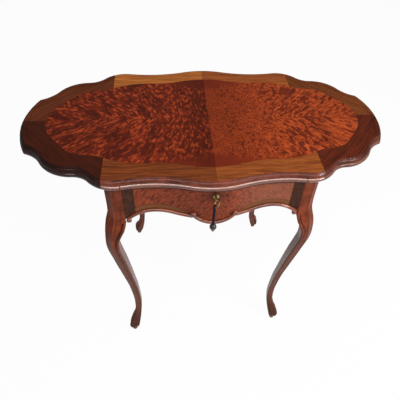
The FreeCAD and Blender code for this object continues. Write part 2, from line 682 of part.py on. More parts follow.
def sideApron(name, sign):
    body = doc.addObject("PartDesign::Body", name)
    outline = body.newObject("Sketcher::SketchObject", name + "Outline")
    outline.AttachmentSupport = (originPlane(body, "YZ_Plane"), [""])
    outline.MapMode = "FlatFace"
    # lower edge of one half, from the middle lobe over the arch to the leg
    half = legInnerY
    lobe, arch = underside - d.apronLobeDrop, underside - d.apronArchDrop
    apronEnd = underside - d.apronEndDrop
    crossing = (d.apronArchAt / 2, (lobe + arch) / 2)
    lower = tangentArcs((0, lobe), 0, [crossing, (d.apronArchAt, arch), (half, apronEnd)])
    for arc in lower:
        ends = [onArc(arc, angle, 0) for angle in (arc[2], (arc[2] + arc[3]) / 2, arc[3])]
        outline.addGeometry(Part.Arc(*ends), False)
        outline.addGeometry(Part.Arc(*[Vector(-end.x, end.y, 0) for end in reversed(ends)]), False)
    corners = [Vector(half, apronEnd, 0), Vector(half, underside, 0),
               Vector(-half, underside, 0), Vector(-half, apronEnd, 0)]
    for i in range(3):
        outline.addGeometry(Part.LineSegment(corners[i], corners[i + 1]), False)
    doc.recompute()
    pad = body.newObject("PartDesign::Pad", name + "Pad")
    pad.Profile = outline
    pad.setExpression("Length", bound("apronThick"))
    doc.recompute()
    notch = body.newObject("Sketcher::SketchObject", name + "Notch")
    notch.AttachmentSupport = (originPlane(body, "YZ_Plane"), [""])
    notch.MapMode = "FlatFace"
    low = underside - d.loperHigh - 2 * d.loperGap
    middle, wide = sign * d.loperAt, d.loperWide / 2 + d.loperGap
    rect = [Vector(middle - wide, low, 0), Vector(middle + wide, low, 0),
            Vector(middle + wide, underside, 0), Vector(middle - wide, underside, 0)]
    for i in range(4):
        notch.addGeometry(Part.LineSegment(rect[i], rect[(i + 1) % 4]), False)
    for i in range(4):
        notch.addConstraint(Sketcher.Constraint("Coincident", i, 2, (i + 1) % 4, 1))
        notch.addConstraint(Sketcher.Constraint("Horizontal" if i % 2 == 0 else "Vertical", i))
    for kind, corner, value, text in (
        ("DistanceX", 0, middle - wide, f"{sign} * loperAt - loperWide / 2 - loperGap"),
        ("DistanceY", 0, low, "tableHeight - topThick - loperHigh - 2 * loperGap"),
        ("DistanceX", 2, middle + wide, f"{sign} * loperAt + loperWide / 2 + loperGap"),
        ("DistanceY", 2, underside, "tableHeight - topThick"),
    ):
        index = notch.addConstraint(Sketcher.Constraint(kind, -1, 1, corner, 1, value))
        notch.setExpression(f"Constraints[{index}]", bound(text))
    doc.recompute()
    pocket = body.newObject("PartDesign::Pocket", name + "Pocket")
    pocket.Profile = notch
    pocket.Type = 1
    pocket.Reversed = True
    doc.recompute()
    body.Tip = pocket
    outer = "jointAt - footIn + blockReach - apronSetIn"
    body.setExpression("Placement.Base.x", bound(f"{outer} - apronThick" if sign > 0 else f"-({outer})"))
    body.setExpression("Placement.Base.y", bound(setbackText))
    return keep(body, name)


sideApron("side_apron_right", 1)
sideApron("side_apron_left", -1)

# drawer rails, runners, guides and loper guides
under = "(tableHeight - topThick)"
legX = "(jointAt - footIn)"
legY = "(halfDepth - footBack)"
inX = f"({legX} - blockInner)"
inY = f"({legY} - blockInner)"
apronIn = f"({legX} + blockReach - apronSetIn - apronThick)"
innerFace = "(halfDepth - frontDeep)"
sideFace = f"({inX} - sideGap - sideIn)"
boxBack = f"({innerFace} - drawerShort)"
railLevel = f"({under} - railDrop)"
railFront = f"-{innerFace} + drawerGap"
railSpan = (railFront, f"{railFront} + railDeep")
board("drawer_rail_upper", (f"-{inX}", inX), railSpan, (f"{under} - railUpperHigh", under))
board("drawer_rail_lower", (f"-{inX}", inX), railSpan, (f"{railLevel} - railLowerHigh", railLevel))


def mirrored(sign, low, high):
    # a pair of formulas for the right side, turned over for the left
    return (low, high) if sign > 0 else (f"-({high})", f"-({low})")


for side, sign in (("right", 1), ("left", -1)):
    blank = block(f"Runner{side}", mirrored(sign, f"{sideFace} - sideThick", apronIn),
                  (f"{railFront} + railDeep", innerFace),
                  (f"{railLevel} - railLowerHigh", f"{railLevel} + 2 * railLowerHigh"))
    channel = block(f"Channel{side}", mirrored(sign, "0", f"{sideFace} + drawerGap"),
                    (railFront, f"{innerFace} + 1"),
                    (railLevel, f"{railLevel} + 3 * railLowerHigh"))
    cuts = [channel]
    for end, low, high in (("Front", f"-{innerFace}", f"-{inY}"), ("Back", inY, f"{innerFace} + 1")):
        # the runner's outer strip stops short of both leg blocks
        cuts.append(block(f"LegRelief{end}{side}", mirrored(sign, inX, legX), (low, high),
                          (f"{railLevel} - 2 * railLowerHigh", f"{railLevel} + 3 * railLowerHigh")))
    worked(f"drawer_runner_{side}", blank, cuts)

loperLow = f"({under} - loperGap - loperHigh)"
tongueLow = f"({loperLow} + loperHigh / 2 - tongueHigh / 2)"
guideLevel = (f"{under} - loperHigh - loperGap", under)
loperOut = "(loperAt + loperWide / 2 + loperGap)"
loperIn = "(loperAt - loperWide / 2 - loperGap)"
guides = (
    ("front", (f"-{loperOut} - guideWide", f"-{loperOut}"), [(f"-{loperOut}", f"-{loperOut} + tongue")]),
    ("middle", (f"-{loperIn}", loperIn),
     [(f"-{loperIn} - tongue", f"-{loperIn}"), (loperIn, f"{loperIn} + tongue")]),
    ("back", (loperOut, f"{loperOut} + guideWide"), [(f"{loperOut} - tongue", loperOut)]),
)
for place, y, tongues in guides:
    name = f"loper_guide_{place}"
    parts = [block(name + "Rail", (f"-{apronIn}", apronIn), y, guideLevel)]
    for count, span in enumerate(tongues):
        parts.append(block(f"{name}Tongue{count}", (f"-{apronIn}", apronIn), span,
                           (tongueLow, f"{tongueLow} + tongueHigh")))
    guide = doc.addObject("Part::MultiFuse", name)
    guide.Shapes = parts
    guide.setExpression("Placement.Base.y", bound(setbackText))
    keep(guide, name)


def loper(side, sign):
    # a bar grooved along both sides, with a finger notch below its outer end
    outer = f"({legX} + blockReach - apronSetIn - loperIn)"
    xs = mirrored(sign, f"{outer} - loperLong", outer)
    middle = f"({sign} * loperAt)"
    name = f"loper_{side}"
    bar = block(name + "Bar", xs, (f"{middle} - loperWide / 2", f"{middle} + loperWide / 2"),
                (loperLow, f"{loperLow} + loperHigh"))
    cuts = []
    groove = (f"{tongueLow} - loperGap", f"{tongueLow} + tongueHigh + loperGap")
    longer = (f"{xs[0]} - 1", f"{xs[1]} + 1")
    for count, span in enumerate((
        (f"{middle} - loperWide / 2 - 1", f"{middle} - loperWide / 2 + tongue"),
        (f"{middle} + loperWide / 2 - tongue", f"{middle} + loperWide / 2 + 1"),
    )):
        cuts.append(block(f"{name}Groove{count}", longer, span, groove))
    cuts.append(block(name + "Finger", mirrored(sign, f"{outer} - 2 * loperHigh", f"{outer} - loperHigh"),
                      (f"{middle} - loperWide / 4", f"{middle} + loperWide / 4"),
                      (f"{loperLow} - 1", f"{loperLow} + loperHigh / 4")))
    worked(name, bar, cuts)
    peg = doc.addObject("Part::Cylinder", name + "_peg")
    peg.setExpression("Radius", bound("pegRadius"))
    peg.setExpression("Height", bound("loperGap + pegHigh"))
    peg.setExpression("Placement.Base.x", bound(f"{sign} * ({outer} - loperLong + pegIn)"))
    peg.setExpression("Placement.Base.y", bound(f"{middle} + {setbackText}"))
    peg.setExpression("Placement.Base.z", bound(f"{under} - loperGap"))
    keep(peg, name + "_peg")


loper("right", 1)
loper("left", -1)

# drawer box
drawerLow = f"({railLevel} + drawerGap)"
sideLevel = f"({under} - sideDrop)"
floorZ = (f"{drawerLow} + bottomLift", f"{drawerLow} + bottomLift + bottomThick")
for side, sign in (("right", 1), ("left", -1)):
    inner = sideOut - d.sideThick
    span = sorted((sign * inner, sign * sideOut))
    plank = box(span, (-frontInner, drawerBack), (sideLow, sideTop))
    floorGroove = box((-floorHalf, floorHalf), (-far, drawerBack + past), floorLevel)
    formed(f"drawer_side_{side}", cutBy(fused([plank] + tails(sign)), [floorGroove]))
board("drawer_back", (f"-({sideFace} - sideThick)", f"{sideFace} - sideThick"),
      (f"{boxBack} - backThick", boxBack),
      (f"{drawerLow} + bottomLift + bottomThick", f"{sideLevel} - backDrop"))
board("drawer_bottom",
      (f"-({sideFace} - sideThick + grooveIn)", f"{sideFace} - sideThick + grooveIn"),
      (f"-{innerFace} - grooveIn", boxBack), floorZ)

# lock: a case let into the back of the front, its bolt, the keyhole plate
caseFront = -frontInner - d.lockDeep
slotHalf = d.bitThick / 2 + d.drawerGap
slotLow = keyHigh - d.bitReach - d.drawerGap
caseIn = box((-d.lockWide / 2 + d.lockWall, d.lockWide / 2 - d.lockWall),
             (caseFront + d.lockWall, -frontInner - d.lockWall),
             (lockLow + d.lockWall, lockTop - d.lockWall))
boltHalf = d.boltWide / 2
boltSlot = box((-boltHalf - d.boltGap, boltHalf + d.boltGap),
               (boltY - d.boltGap, boltY + d.boltThick + d.boltGap),
               (lockTop - 2 * d.lockWall, lockTop + past))
caseHole = along(d.keyRadius + d.drawerGap, 0, keyHigh, -far, -frontInner - d.lockDeep / 2)
caseSlot = box((-slotHalf, slotHalf), (-far, -frontInner - d.lockDeep / 2), (slotLow, keyHigh))
pivotHole = along(d.pivotRadius + d.pivotGap, 0, keyHigh, caseFront, 0)
formed("lock_case", cutBy(box(*lockBox), [caseIn, boltSlot, caseHole, caseSlot, pivotHole]))
boltBase = keyHigh + d.keyRadius + d.boltLift
boltSpan = (boltY, boltY + d.boltThick)
tailBox = box((-d.bitReach - 1, -d.bitReach - 1 + d.boltTail), boltSpan, (keyHigh - 2, boltBase + 1))
boltBody = box((-boltHalf, boltHalf), boltSpan, (boltBase, lockTop - d.boltGap))
formed("lock_bolt", fused([boltBody, tailBox]))
plateOuter = slab(d.faceReach + d.plateProud, 0, d.tableHeight)
plateRing = shared(along(d.bitReach, 0, keyHigh - d.plateDrop, -far, -frontInner),
                   plateOuter.cut(slab(d.faceReach, 0, d.tableHeight)))
plateSlot = box((-slotHalf, slotHalf), (-far, 0), (slotLow, keyHigh))
formed("keyhole_plate", cutBy(plateRing, [keyhole, plateSlot]))


def ring(radius, half, middle, axis):
    # a ring of eight-sided section, its corners eased
    start = middle - axis * half
    outer = Part.makeCylinder(radius + half, 2 * half, start, axis)
    blank = outer.cut(Part.makeCylinder(radius - half, 2 * half, start, axis))
    rims = [edge for edge in blank.Edges if isinstance(edge.Curve, Part.Circle)]
    return blank.makeChamfer(half * (2 - math.sqrt(2)), rims)


# key: shaft, collar, ring bow and bit, left a little turned in the lock
bowMiddle = -keyTip + d.bowWire + d.bowDeep
boreEnd = -frontInner - d.lockWall
bowBack = bowMiddle + d.bowDeep
shaft = along(d.keyRadius, 0, keyHigh, bowBack, boreEnd - d.boltGap)
pivot = along(d.pivotRadius, 0, keyHigh, boreEnd - 1, -frontInner - d.boltGap)
collar = along(d.keyRadius + d.collarWide, 0, keyHigh, bowBack + d.collarBack,
               bowBack + d.collarBack + d.collarLong)
bowRing = ring(d.bowDeep, d.bowWire, Vector(0, bowMiddle, keyHigh), Vector(1, 0, 0))
bit = box((-d.bitThick / 2, d.bitThick / 2), (boltY, boltY + d.bitLong),
          (keyHigh - d.bitReach, keyHigh))
key = fused([shaft, pivot, collar, bowRing, bit])
key.rotate(Vector(0, 0, keyHigh), Vector(0, 1, 0), d.keyTurned)
formed("key", key)

# tassel: a loop round the lowest part of the bow, the hanging cord and a turned knob
lean = math.radians(d.keyTurned)
hangX = -d.bowDeep * math.sin(lean)
hangZ = keyHigh - d.bowDeep * math.cos(lean)
loopRadius = d.bowWire + d.loopGap + d.loopWire
cordTop = hangZ - loopRadius - d.loopWire
cordLow = keyHigh - d.cordDrop
knobLow = cordLow - d.knobLong
formed("tassel_loop", ring(loopRadius, d.loopWire, Vector(hangX, bowMiddle, hangZ), Vector(0, 1, 0)))


def roundedRoute(points):
    # straight runs joined by tangent arcs, each as large as its runs allow
    edges = []
    here = points[0]
    for i in range(1, len(points) - 1):
        before, after = points[i] - points[i - 1], points[i + 1] - points[i]
        turn = before.getAngle(after)
        radius = 0.45 * min(before.Length, after.Length) / math.tan(turn / 2)
        reach = radius * math.tan(turn / 2)
        before.normalize()
        after.normalize()
        start, stop = points[i] - before * reach, points[i] + after * reach
        bisector = after - before
        bisector.normalize()
        centre = points[i] + bisector * (radius / math.cos(turn / 2))
        middle = centre - bisector * radius
        edges += [Part.LineSegment(here, start).toShape(), Part.Arc(start, middle, stop).toShape()]
        print("cord arc radius", round(radius, 1))
        here = stop
    return Part.Wire(edges + [Part.LineSegment(here, points[-1]).toShape()])


cordHang = cordTop - cordLow
cordRoute = [Vector(hangX, bowMiddle, cordTop),
             Vector(hangX + 0.5, bowMiddle - 0.3, cordTop - cordHang / 3),
             Vector(hangX - 0.4, bowMiddle + 0.2, cordTop - 2 * cordHang / 3),
             Vector(hangX, bowMiddle, cordLow)]
cordLine = roundedRoute(cordRoute)
cordSection = Part.Wire(Part.makeCircle(d.cordRadius, cordRoute[0], cordRoute[1] - cordRoute[0]))
cord = Part.Wire(cordLine).makePipeShell([cordSection], True, False)
print("cord", round(cordLine.Length, 2), "volume ratio",
      round(cord.Volume / (math.pi * d.cordRadius**2 * cordLine.Length), 4))
formed("tassel_cord", cord)

knobBody = doc.addObject("PartDesign::Body", "tassel_knob")
turned = knobBody.newObject("Sketcher::SketchObject", "KnobLine")
turned.AttachmentSupport = (originPlane(knobBody, "XZ_Plane"), [""])
turned.MapMode = "FlatFace"
ball = d.knobRadius
middleZ = cordLow - 1.15 * ball
neckTurn = math.acos(0.5)
neckRise = ball * math.sin(neckTurn)
knobLine = [Vector(ball / 2, middleZ - neckRise, 0), Vector(0, knobLow, 0), Vector(0, cordLow, 0),
            Vector(ball / 2, cordLow, 0), Vector(ball / 2, middleZ + neckRise, 0)]
for start, stop in zip(knobLine, knobLine[1:]):
    turned.addGeometry(Part.LineSegment(start, stop), False)
turned.addGeometry(Part.ArcOfCircle(Part.Circle(Vector(0, middleZ, 0), up, ball), -neckTurn, neckTurn), False)
doc.recompute()
spun = knobBody.newObject("PartDesign::Revolution", "KnobTurning")
spun.Profile = turned
spun.ReferenceAxis = (turned, ["V_Axis"])
spun.Angle = 360
doc.recompute()
knobBody.Tip = spun
knobBody.Placement = Placement(Vector(hangX, bowMiddle + setback, 0), Rotation())
keep(knobBody, "tassel_knob")

# every feature and every piece is looked at before anything is written
doc.recompute()
for item in doc.Objects:
    wrong = {"Invalid", "Error"} & set(item.State)
    if wrong:
        raise RuntimeError(f"{item.Name} is {wrong}")
os.makedirs("parts", exist_ok=True)
for piece in pieces:
    shape = piece.Shape
    if shape.isNull() or not shape.isValid() or not shape.Solids:
        raise RuntimeError(f"{piece.Label} has no sound shape")
for piece in pieces:
    piece.Shape.exportStep(f"parts/{piece.Label}.step")
print(len(pieces), "pieces")
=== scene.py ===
import math
import bpy
import numpy as np
from mathutils import Matrix, Vector


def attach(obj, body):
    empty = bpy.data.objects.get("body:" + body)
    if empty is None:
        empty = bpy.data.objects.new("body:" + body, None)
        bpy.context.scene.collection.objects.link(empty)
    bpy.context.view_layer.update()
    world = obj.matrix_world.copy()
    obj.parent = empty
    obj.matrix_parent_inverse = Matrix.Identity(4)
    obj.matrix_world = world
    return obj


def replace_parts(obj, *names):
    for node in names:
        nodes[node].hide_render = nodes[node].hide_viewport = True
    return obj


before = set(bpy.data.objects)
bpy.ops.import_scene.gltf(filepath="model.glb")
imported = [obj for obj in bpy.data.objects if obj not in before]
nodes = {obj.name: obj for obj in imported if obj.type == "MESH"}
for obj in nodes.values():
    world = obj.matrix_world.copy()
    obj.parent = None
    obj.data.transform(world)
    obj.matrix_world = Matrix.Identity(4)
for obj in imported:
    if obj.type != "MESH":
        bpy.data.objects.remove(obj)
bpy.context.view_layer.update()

scene = bpy.context.scene
mm = 0.001
setback = 0.01175  # the table's own middle plane lies this far behind the origin

# the camera of the picture, fitted to the table's edges
camera = {
    "place": (-0.1007, -0.83045, 1.3868),
    "yaw": -9.72,
    "pitch": -41.95,
    "roll": 4.85,
    "lens": 36.74,
    "shift": (-0.055, -0.125),
}
lensData = bpy.data.cameras.new("camera")
lensData.sensor_width = 36
lensData.lens = camera["lens"]
lensData.shift_x, lensData.shift_y = camera["shift"]
cameraPiece = bpy.data.objects.new("camera", lensData)
scene.collection.objects.link(cameraPiece)
cameraPiece.matrix_world = (
    Matrix.Translation(camera["place"])
    @ Matrix.Rotation(math.radians(camera["yaw"]), 4, "Z")
    @ Matrix.Rotation(math.radians(90 + camera["pitch"]), 4, "X")
    @ Matrix.Rotation(math.radians(camera["roll"]), 4, "Z")
)
scene.camera = cameraPiece
scene.view_settings.view_transform = "Standard"

# the tassel's cord hangs from its loop on the key's bow
cord = {
    "route": [(-0.005449, -0.23925, 0.674168), (-0.004949, -0.23955, 0.653279),
              (-0.005849, -0.23905, 0.632389), (-0.005449, -0.23925, 0.6115)],
    "radius": 0.003,
    "length": 0.0627,
}
cordCurve = bpy.data.curves.new("tassel_cord_line", "CURVE")
cordCurve.dimensions = "3D"
cordLine = cordCurve.splines.new("NURBS")
cordLine.points.add(len(cord["route"]) - 1)
for point, place in zip(cordLine.points, cord["route"]):
    point.co = (*place, 1)
cordLine.order_u = 3
cordLine.use_endpoint_u = True
cordLine.resolution_u = 24
cordCurve.bevel_depth = cord["radius"]
cordCurve.bevel_resolution = 6
cordPiece = bpy.data.objects.new("tassel_cord_twist", cordCurve)
scene.collection.objects.link(cordPiece)
print("camera and cord")


def wired(tree, kind, *inputs, **settings):
    # a node with its first inputs: values are set, sockets linked, and a node stands for its
    # first output
    node = tree.nodes.new(kind)
    for name, value in settings.items():
        setattr(node, name, value)
    for slot, value in zip(node.inputs, inputs):
        if isinstance(value, bpy.types.Node):
            value = value.outputs[0]
        if isinstance(value, bpy.types.NodeSocket):
            tree.links.new(value, slot)
        else:
            slot.default_value = value
    return node


# numbers and colours of a material, written as ordinary sums
class Field:
    def __init__(self, paint, socket):
        self.paint = paint
        self.socket = socket

    def math(self, operation, *others):
        return self.paint.field("ShaderNodeMath", self, *others, operation=operation)

    def __add__(self, other):
        return self.math("ADD", other)

    def __radd__(self, other):
        return self.math("ADD", other)

    def __sub__(self, other):
        return self.math("SUBTRACT", other)

    def __rsub__(self, other):
        return (self * -1).math("ADD", other)

    def __mul__(self, other):
        return self.math("MULTIPLY", other)

    def __rmul__(self, other):
        return self.math("MULTIPLY", other)

    def __truediv__(self, other):
        return self.math("DIVIDE", other)

    def __gt__(self, other):
        return self.math("GREATER_THAN", other)

    def __lt__(self, other):
        return self.math("LESS_THAN", other)

    def size(self):
        return self.math("ABSOLUTE")

    def sine(self):
        return self.math("SINE")

    def root(self):
        return self.math("SQRT")

    def above(self, other):
        return self.math("MAXIMUM", other)

    def between(self, low, high):
        # rises smoothly from 0 at low to 1 at high
        return self.paint.field("ShaderNodeMapRange", self, low, high, 0.0, 1.0,
                                interpolation_type="SMOOTHSTEP", clamp=True)

    def ramp(self, first, second):
        # a colour between two others
        return self.paint.blend(first, second, self)


def colour(red, green, blue):
    # a colour as a screen shows it, made linear
    part = np.array([red, green, blue]) / 255
    linear = np.where(part <= 0.04045, part / 12.92, ((part + 0.055) / 1.055) ** 2.4)
    return (*linear.tolist(), 1.0)


class Paint:
    def __init__(self, name):
        self.material = bpy.data.materials.new(name)
        self.material.use_nodes = True
        self.tree = self.material.node_tree
        self.shader = self.tree.nodes["Principled BSDF"]
        self.places = self.make("ShaderNodeTexCoord")

    def make(self, kind, *inputs, **settings):
        inputs = [value.socket if isinstance(value, Field) else value for value in inputs]
        return wired(self.tree, kind, *inputs, **settings)

    def field(self, kind, *inputs, **settings):
        return Field(self, self.make(kind, *inputs, **settings).outputs[0])

    def feed(self, slot, value):
        if isinstance(value, Field):
            self.tree.links.new(value.socket, slot)
        else:
            slot.default_value = value

    def axes(self, source="Object"):
        node = self.make("ShaderNodeSeparateXYZ", self.places.outputs[source])
        return [Field(self, slot) for slot in node.outputs]

    def vector(self, place):
        return self.field("ShaderNodeCombineXYZ", *place)

    def noise(self, place, scale=1.0, detail=3.0, roughness=0.5, distortion=0.0):
        node = self.make("ShaderNodeTexNoise", self.vector(place))
        for name, value in (("Scale", scale), ("Detail", detail), ("Roughness", roughness),
                            ("Distortion", distortion)):
            self.feed(node.inputs[name], value)
        return Field(self, node.outputs["Fac"])

    def cells(self, place, scale):
        node = self.make("ShaderNodeTexVoronoi", self.vector(place))
        self.feed(node.inputs["Scale"], scale)
        return Field(self, node.outputs["Distance"])

    def blend(self, first, second, factor):
        node = self.make("ShaderNodeMix", data_type="RGBA", clamp_factor=True)
        self.feed(node.inputs["Factor"], factor)
        self.feed(node.inputs[6], first)
        self.feed(node.inputs[7], second)
        return Field(self, node.outputs[2])

    def tint(self, first, amount):
        # a colour made darker or lighter by a number at each point
        node = self.make("ShaderNodeVectorMath", operation="SCALE")
        self.feed(node.inputs[0], first if isinstance(first, Field) else first[:3])
        self.feed(node.inputs["Scale"], amount)
        return Field(self, node.outputs[0])

    def finish(self, base, roughness=0.4, height=None, relief=0.0005, coat=0.0, coatRough=0.1,
               coatIndex=1.65, metallic=0.0, gloss=0.5):
        slots = self.shader.inputs
        for name, value in (("Base Color", base), ("Roughness", roughness), ("Metallic", metallic),
                            ("Specular IOR Level", gloss), ("Coat Weight", coat),
                            ("Coat IOR", coatIndex), ("Coat Roughness", coatRough)):
            self.feed(slots[name], value)
        if height is not None:
            bump = self.make("ShaderNodeBump")
            for name, value in (("Strength", 1.0), ("Distance", relief), ("Height", height)):
                self.feed(bump.inputs[name], value)
            self.tree.links.new(bump.outputs[0], slots["Normal"])
        return self.material


# burl field: bright flecks on dark wood left of the middle joint, curls and small dark eyes
# right of it, and toward both ends dark flames that fan out
burl = {
    "leftDark": colour(82, 27, 16), "leftMid": colour(121, 42, 22),
    "leftLight": colour(188, 78, 37),
    "leftPlain": colour(114, 40, 22), "rightDark": colour(84, 26, 15),
    "rightMid": colour(132, 44, 21),
    "rightLight": colour(191, 84, 38), "rightPlain": colour(132, 46, 23), "joint": colour(30, 9, 7),
    "fan": 4.0, "fanFrom": 0.03, "narrowing": 0.54, "eyes": 92,
    "fleck": (235, 72), "flame": (78, 19), "streak": (190, 34), "clump": (95, 48),
    "patch": (44, 13),
    "plainFrom": 0.124, "plainTo": 0.148, "plainSpread": 0.22,
}


def makeBurl():
    paint = Paint("burl_veneer_polished")
    x, y = paint.axes()[:2]
    out = x.size()
    side = (y - setback).size()
    # the flecks follow lines that lie front to back in the middle and fan out toward the ends:
    # out = root + fan * (root - fanFrom) * side, where root is the line's place on the long axis
    sway = paint.noise((x, y, 0.0), 22.0, 1.0) - 0.5
    quiver = paint.noise((x, y, 5.0), 90.0, 1.0) - 0.5
    root = (out + side * (burl["fan"] * burl["fanFrom"])) / (side * burl["fan"] + 1.0)
    slope = (root - burl["fanFrom"]) * burl["fan"]
    across = root - root * root * burl["narrowing"] + sway * 0.012 + quiver * 0.0035
    along = side * (slope * slope + 1.0).root() + sway * 0.02 + quiver * 0.006

    quarter = (y > setback) * 6.5

    def lying(name, seed, detail=1.0):
        wide, long = burl[name]
        return paint.noise((across * wide, along * long, quarter + seed), 1.0, detail)

    fleck, flame = lying("fleck", 3.7), lying("flame", 6.2, 1.5)
    mottle = paint.noise((x * 230, y * 170, 9.1), 1.0, 2.0, 0.6, 0.6)
    cloud = paint.noise((x, y, 4.0), 15.0, 3.0, 0.55)
    # the figure dies away in a crescent near the front and the back of the field
    wave = (paint.noise((x, 0.0, 7.0), 60.0, 2.0) - 0.5) * 0.03
    plain = (side - out * burl["plainSpread"] + wave).between(burl["plainFrom"], burl["plainTo"])
    grain = paint.noise((x * 14, y * 240, 1.0), 1.0, 3.0)
    # left half
    flamed = flame.between(0.48, 0.60) * (0.35 + out.between(0.05, 0.16) * 0.55)
    flamed = flamed.above(lying("patch", 1.4, 1.5).between(0.585, 0.63) * out.between(0.07, 0.15))
    left = paint.blend(burl["leftMid"], burl["leftDark"], flamed)
    left = paint.blend(left, burl["leftDark"], (1 - fleck.between(0.38, 0.48)) * 0.7)
    bright = fleck.between(0.50, 0.68) * (1 - flamed * 0.7)
    bright = bright * (0.6 + mottle.between(0.35, 0.6) * 0.4)
    left = paint.blend(left, burl["leftLight"], bright)
    left = paint.blend(left, paint.tint(burl["leftPlain"], 0.8 + grain * 0.4), plain * 0.92)
    # the left half is painted darker as shade near the middle joint and toward its end, and clouded
    # at random
    leftTone = 0.64 + out.between(0.0, 0.14) * 0.40 - out.between(0.22, 0.36) * 0.14
    leftTone = leftTone + (cloud - 0.5) * 0.6
    # right half
    curls = paint.noise((x, y, 2.0), 46.0, 1.0, 0.5, 1.6)
    curl = 1 - (curls - 0.5).size().between(0.004, 0.030)
    eyes = paint.cells((x, y * 1.15, 0.0), burl["eyes"])
    eyeMask = paint.noise((x, y, 8.0), 40.0, 2.0).between(0.36, 0.46)
    eyed = eyeMask * out.between(0.012, 0.05) * (1 - out.between(0.19, 0.28))
    eye = (1 - eyes.between(0.22, 0.36)) * eyed
    streaked = (1 - lying("streak", 2.3).between(0.36, 0.48)) * out.between(0.10, 0.22) * 0.85
    clumped = lying("clump", 4.9, 2.0).between(0.55, 0.61) * out.between(0.10, 0.17)
    clumped = clumped * (1 - out.between(0.26, 0.36))
    flecked = fleck.between(0.42, 0.62) * (0.2 + out.between(0.05, 0.25) * 0.45)
    shade = mottle.between(0.34, 0.62) * 0.5 + flecked
    right = shade.ramp(burl["rightMid"], burl["rightLight"])
    curled = curl * (1 - out.between(0.10, 0.2)) * 0.5
    dark = (eye * 0.9).above(streaked).above(clumped * 0.8).above(curled)
    right = paint.blend(right, burl["rightDark"], dark)
    right = paint.blend(right, paint.tint(burl["rightPlain"], 0.8 + grain * 0.4), plain * 0.92)
    rightTone = 0.74 + out.between(0.02, 0.18) * 0.27 - out.between(0.26, 0.38) * 0.07
    rightTone = rightTone + (cloud - 0.5) * 0.6
    wood = paint.blend(paint.tint(left, leftTone), paint.tint(right, rightTone), x > 0.0)
    wood = paint.blend(wood, burl["joint"], (1 - out.between(0.0002, 0.0012)) * 0.6)
    return paint.finish(wood, 0.40 + mottle * 0.12, mottle * 0.6 + fleck * 0.4, 0.0001, gloss=0.12)


# straight-grained border strips: golden in the middle part, darker round the leaves
border = {
    "gold": colour(171, 92, 40), "goldDark": colour(104, 50, 25),
    "back": colour(210, 126, 58), "backDark": colour(142, 75, 35),
    "backRight": colour(182, 98, 46), "backRightDark": colour(117, 58, 30),
    "brown": colour(144, 72, 33), "brownDark": colour(82, 39, 20),
    "leafLeftFront": colour(79, 31, 16), "leafLeftFrontDark": colour(52, 20, 11),
    "leafLeftBack": colour(118, 58, 30), "leafLeftBackDark": colour(78, 35, 18),
    "leafRightFront": colour(105, 41, 20), "leafRightFrontDark": colour(58, 21, 12),
    "leafRightBack": colour(136, 72, 32), "leafRightBackDark": colour(86, 39, 18),
}


def makeBorder(name, kind, across, waves=0.0, other=None):
    light, dark = border[kind], border[kind + "Dark"]
    paint = Paint(name)
    x, y = paint.axes()[:2]
    wander = paint.noise((x, y, 1.0), 14.0, 2.0)
    if across == "turned":
        # the grain runs aslant in the leaves' strips
        along, over = (x + y) * 0.7, (y - x) * 0.7
    elif across == "turnedBack":
        along, over = (x - y) * 0.7, (y + x) * 0.7
    else:
        along, over = x, y
    grain = paint.noise((along * 14, (over + wander * 0.010) * 420, 2.0), 1.0, 4.0, 0.6)
    bands = paint.noise((along * 5, (over + wander * 0.02) * 90, 6.0), 1.0, 2.0, 0.5)
    pores = paint.noise((along * 60, over * 1300, 5.0), 1.0, 2.0, 0.5)
    amount = (grain * 0.72 + bands * 0.28).between(0.34, 0.64)
    wood = amount.ramp(dark, light)
    if other is not None:
        wood = paint.blend(amount.ramp(border[other + "Dark"], border[other]), wood, x > 0.0)
        seam = 1 - x.size().between(0.0002, 0.0010)
        wood = paint.blend(wood, dark, seam * 0.8)
    if waves:
        ripple = paint.noise((along * 150, over * 22, 7.0), 1.0, 3.0, 0.5)
        wood = paint.tint(wood, 1.0 + (ripple - 0.5) * waves)
    wood = paint.tint(wood, 0.92 + pores.between(0.30, 0.55) * 0.10)
    return paint.finish(wood, 0.42 + pores * 0.15, pores, 0.00008, gloss=0.12)


# solid walnut of the moulded rim and of the legs, with a painted highlight on the rim's bead,
# painted shade in grooves and lit and shaded copies for some parts
walnut = {
    # the rims' Highlight colours are painted highlights along the bead
    "rim": colour(138, 69, 50), "rimDark": colour(66, 30, 22), "rimWorn": colour(204, 152, 132),
    # the leaves' rims are copies of the rim walnut coloured for how light falls: the left one dark
    # as painted shade, the right one as painted light
    "rimLeft": colour(54, 24, 17), "rimLeftDark": colour(28, 12, 9),
    "rimLeftWorn": colour(58, 28, 21),
    "rimRight": colour(114, 58, 42), "rimRightDark": colour(60, 29, 20),
    "rimRightWorn": colour(150, 94, 76),
    "rimLow": 0.722, "rimPolish": 0.22, "highlightFrom": 0.7172, "highlightTo": 0.7196,
    "leg": colour(149, 71, 44), "legDark": colour(95, 40, 26), "legDust": colour(132, 92, 76),
    # a lighter copy of the leg walnut for the back legs, as painted light
    "legBack": colour(156, 94, 78), "legBackDark": colour(112, 62, 50),
    "bead": colour(158, 86, 60), "beadDark": colour(110, 54, 36),
    # a paler, greyer copy for the front legs' inner flanks: a painted sheen of the white floor
    "flank": colour(136, 102, 96), "flankDark": colour(118, 86, 82),
    # dark walnut as painted shade in the legs' grooves, the toe's scoop and the crease above the
    # drawer bead
    "groove": colour(74, 30, 20), "grooveDark": colour(48, 18, 12),
}


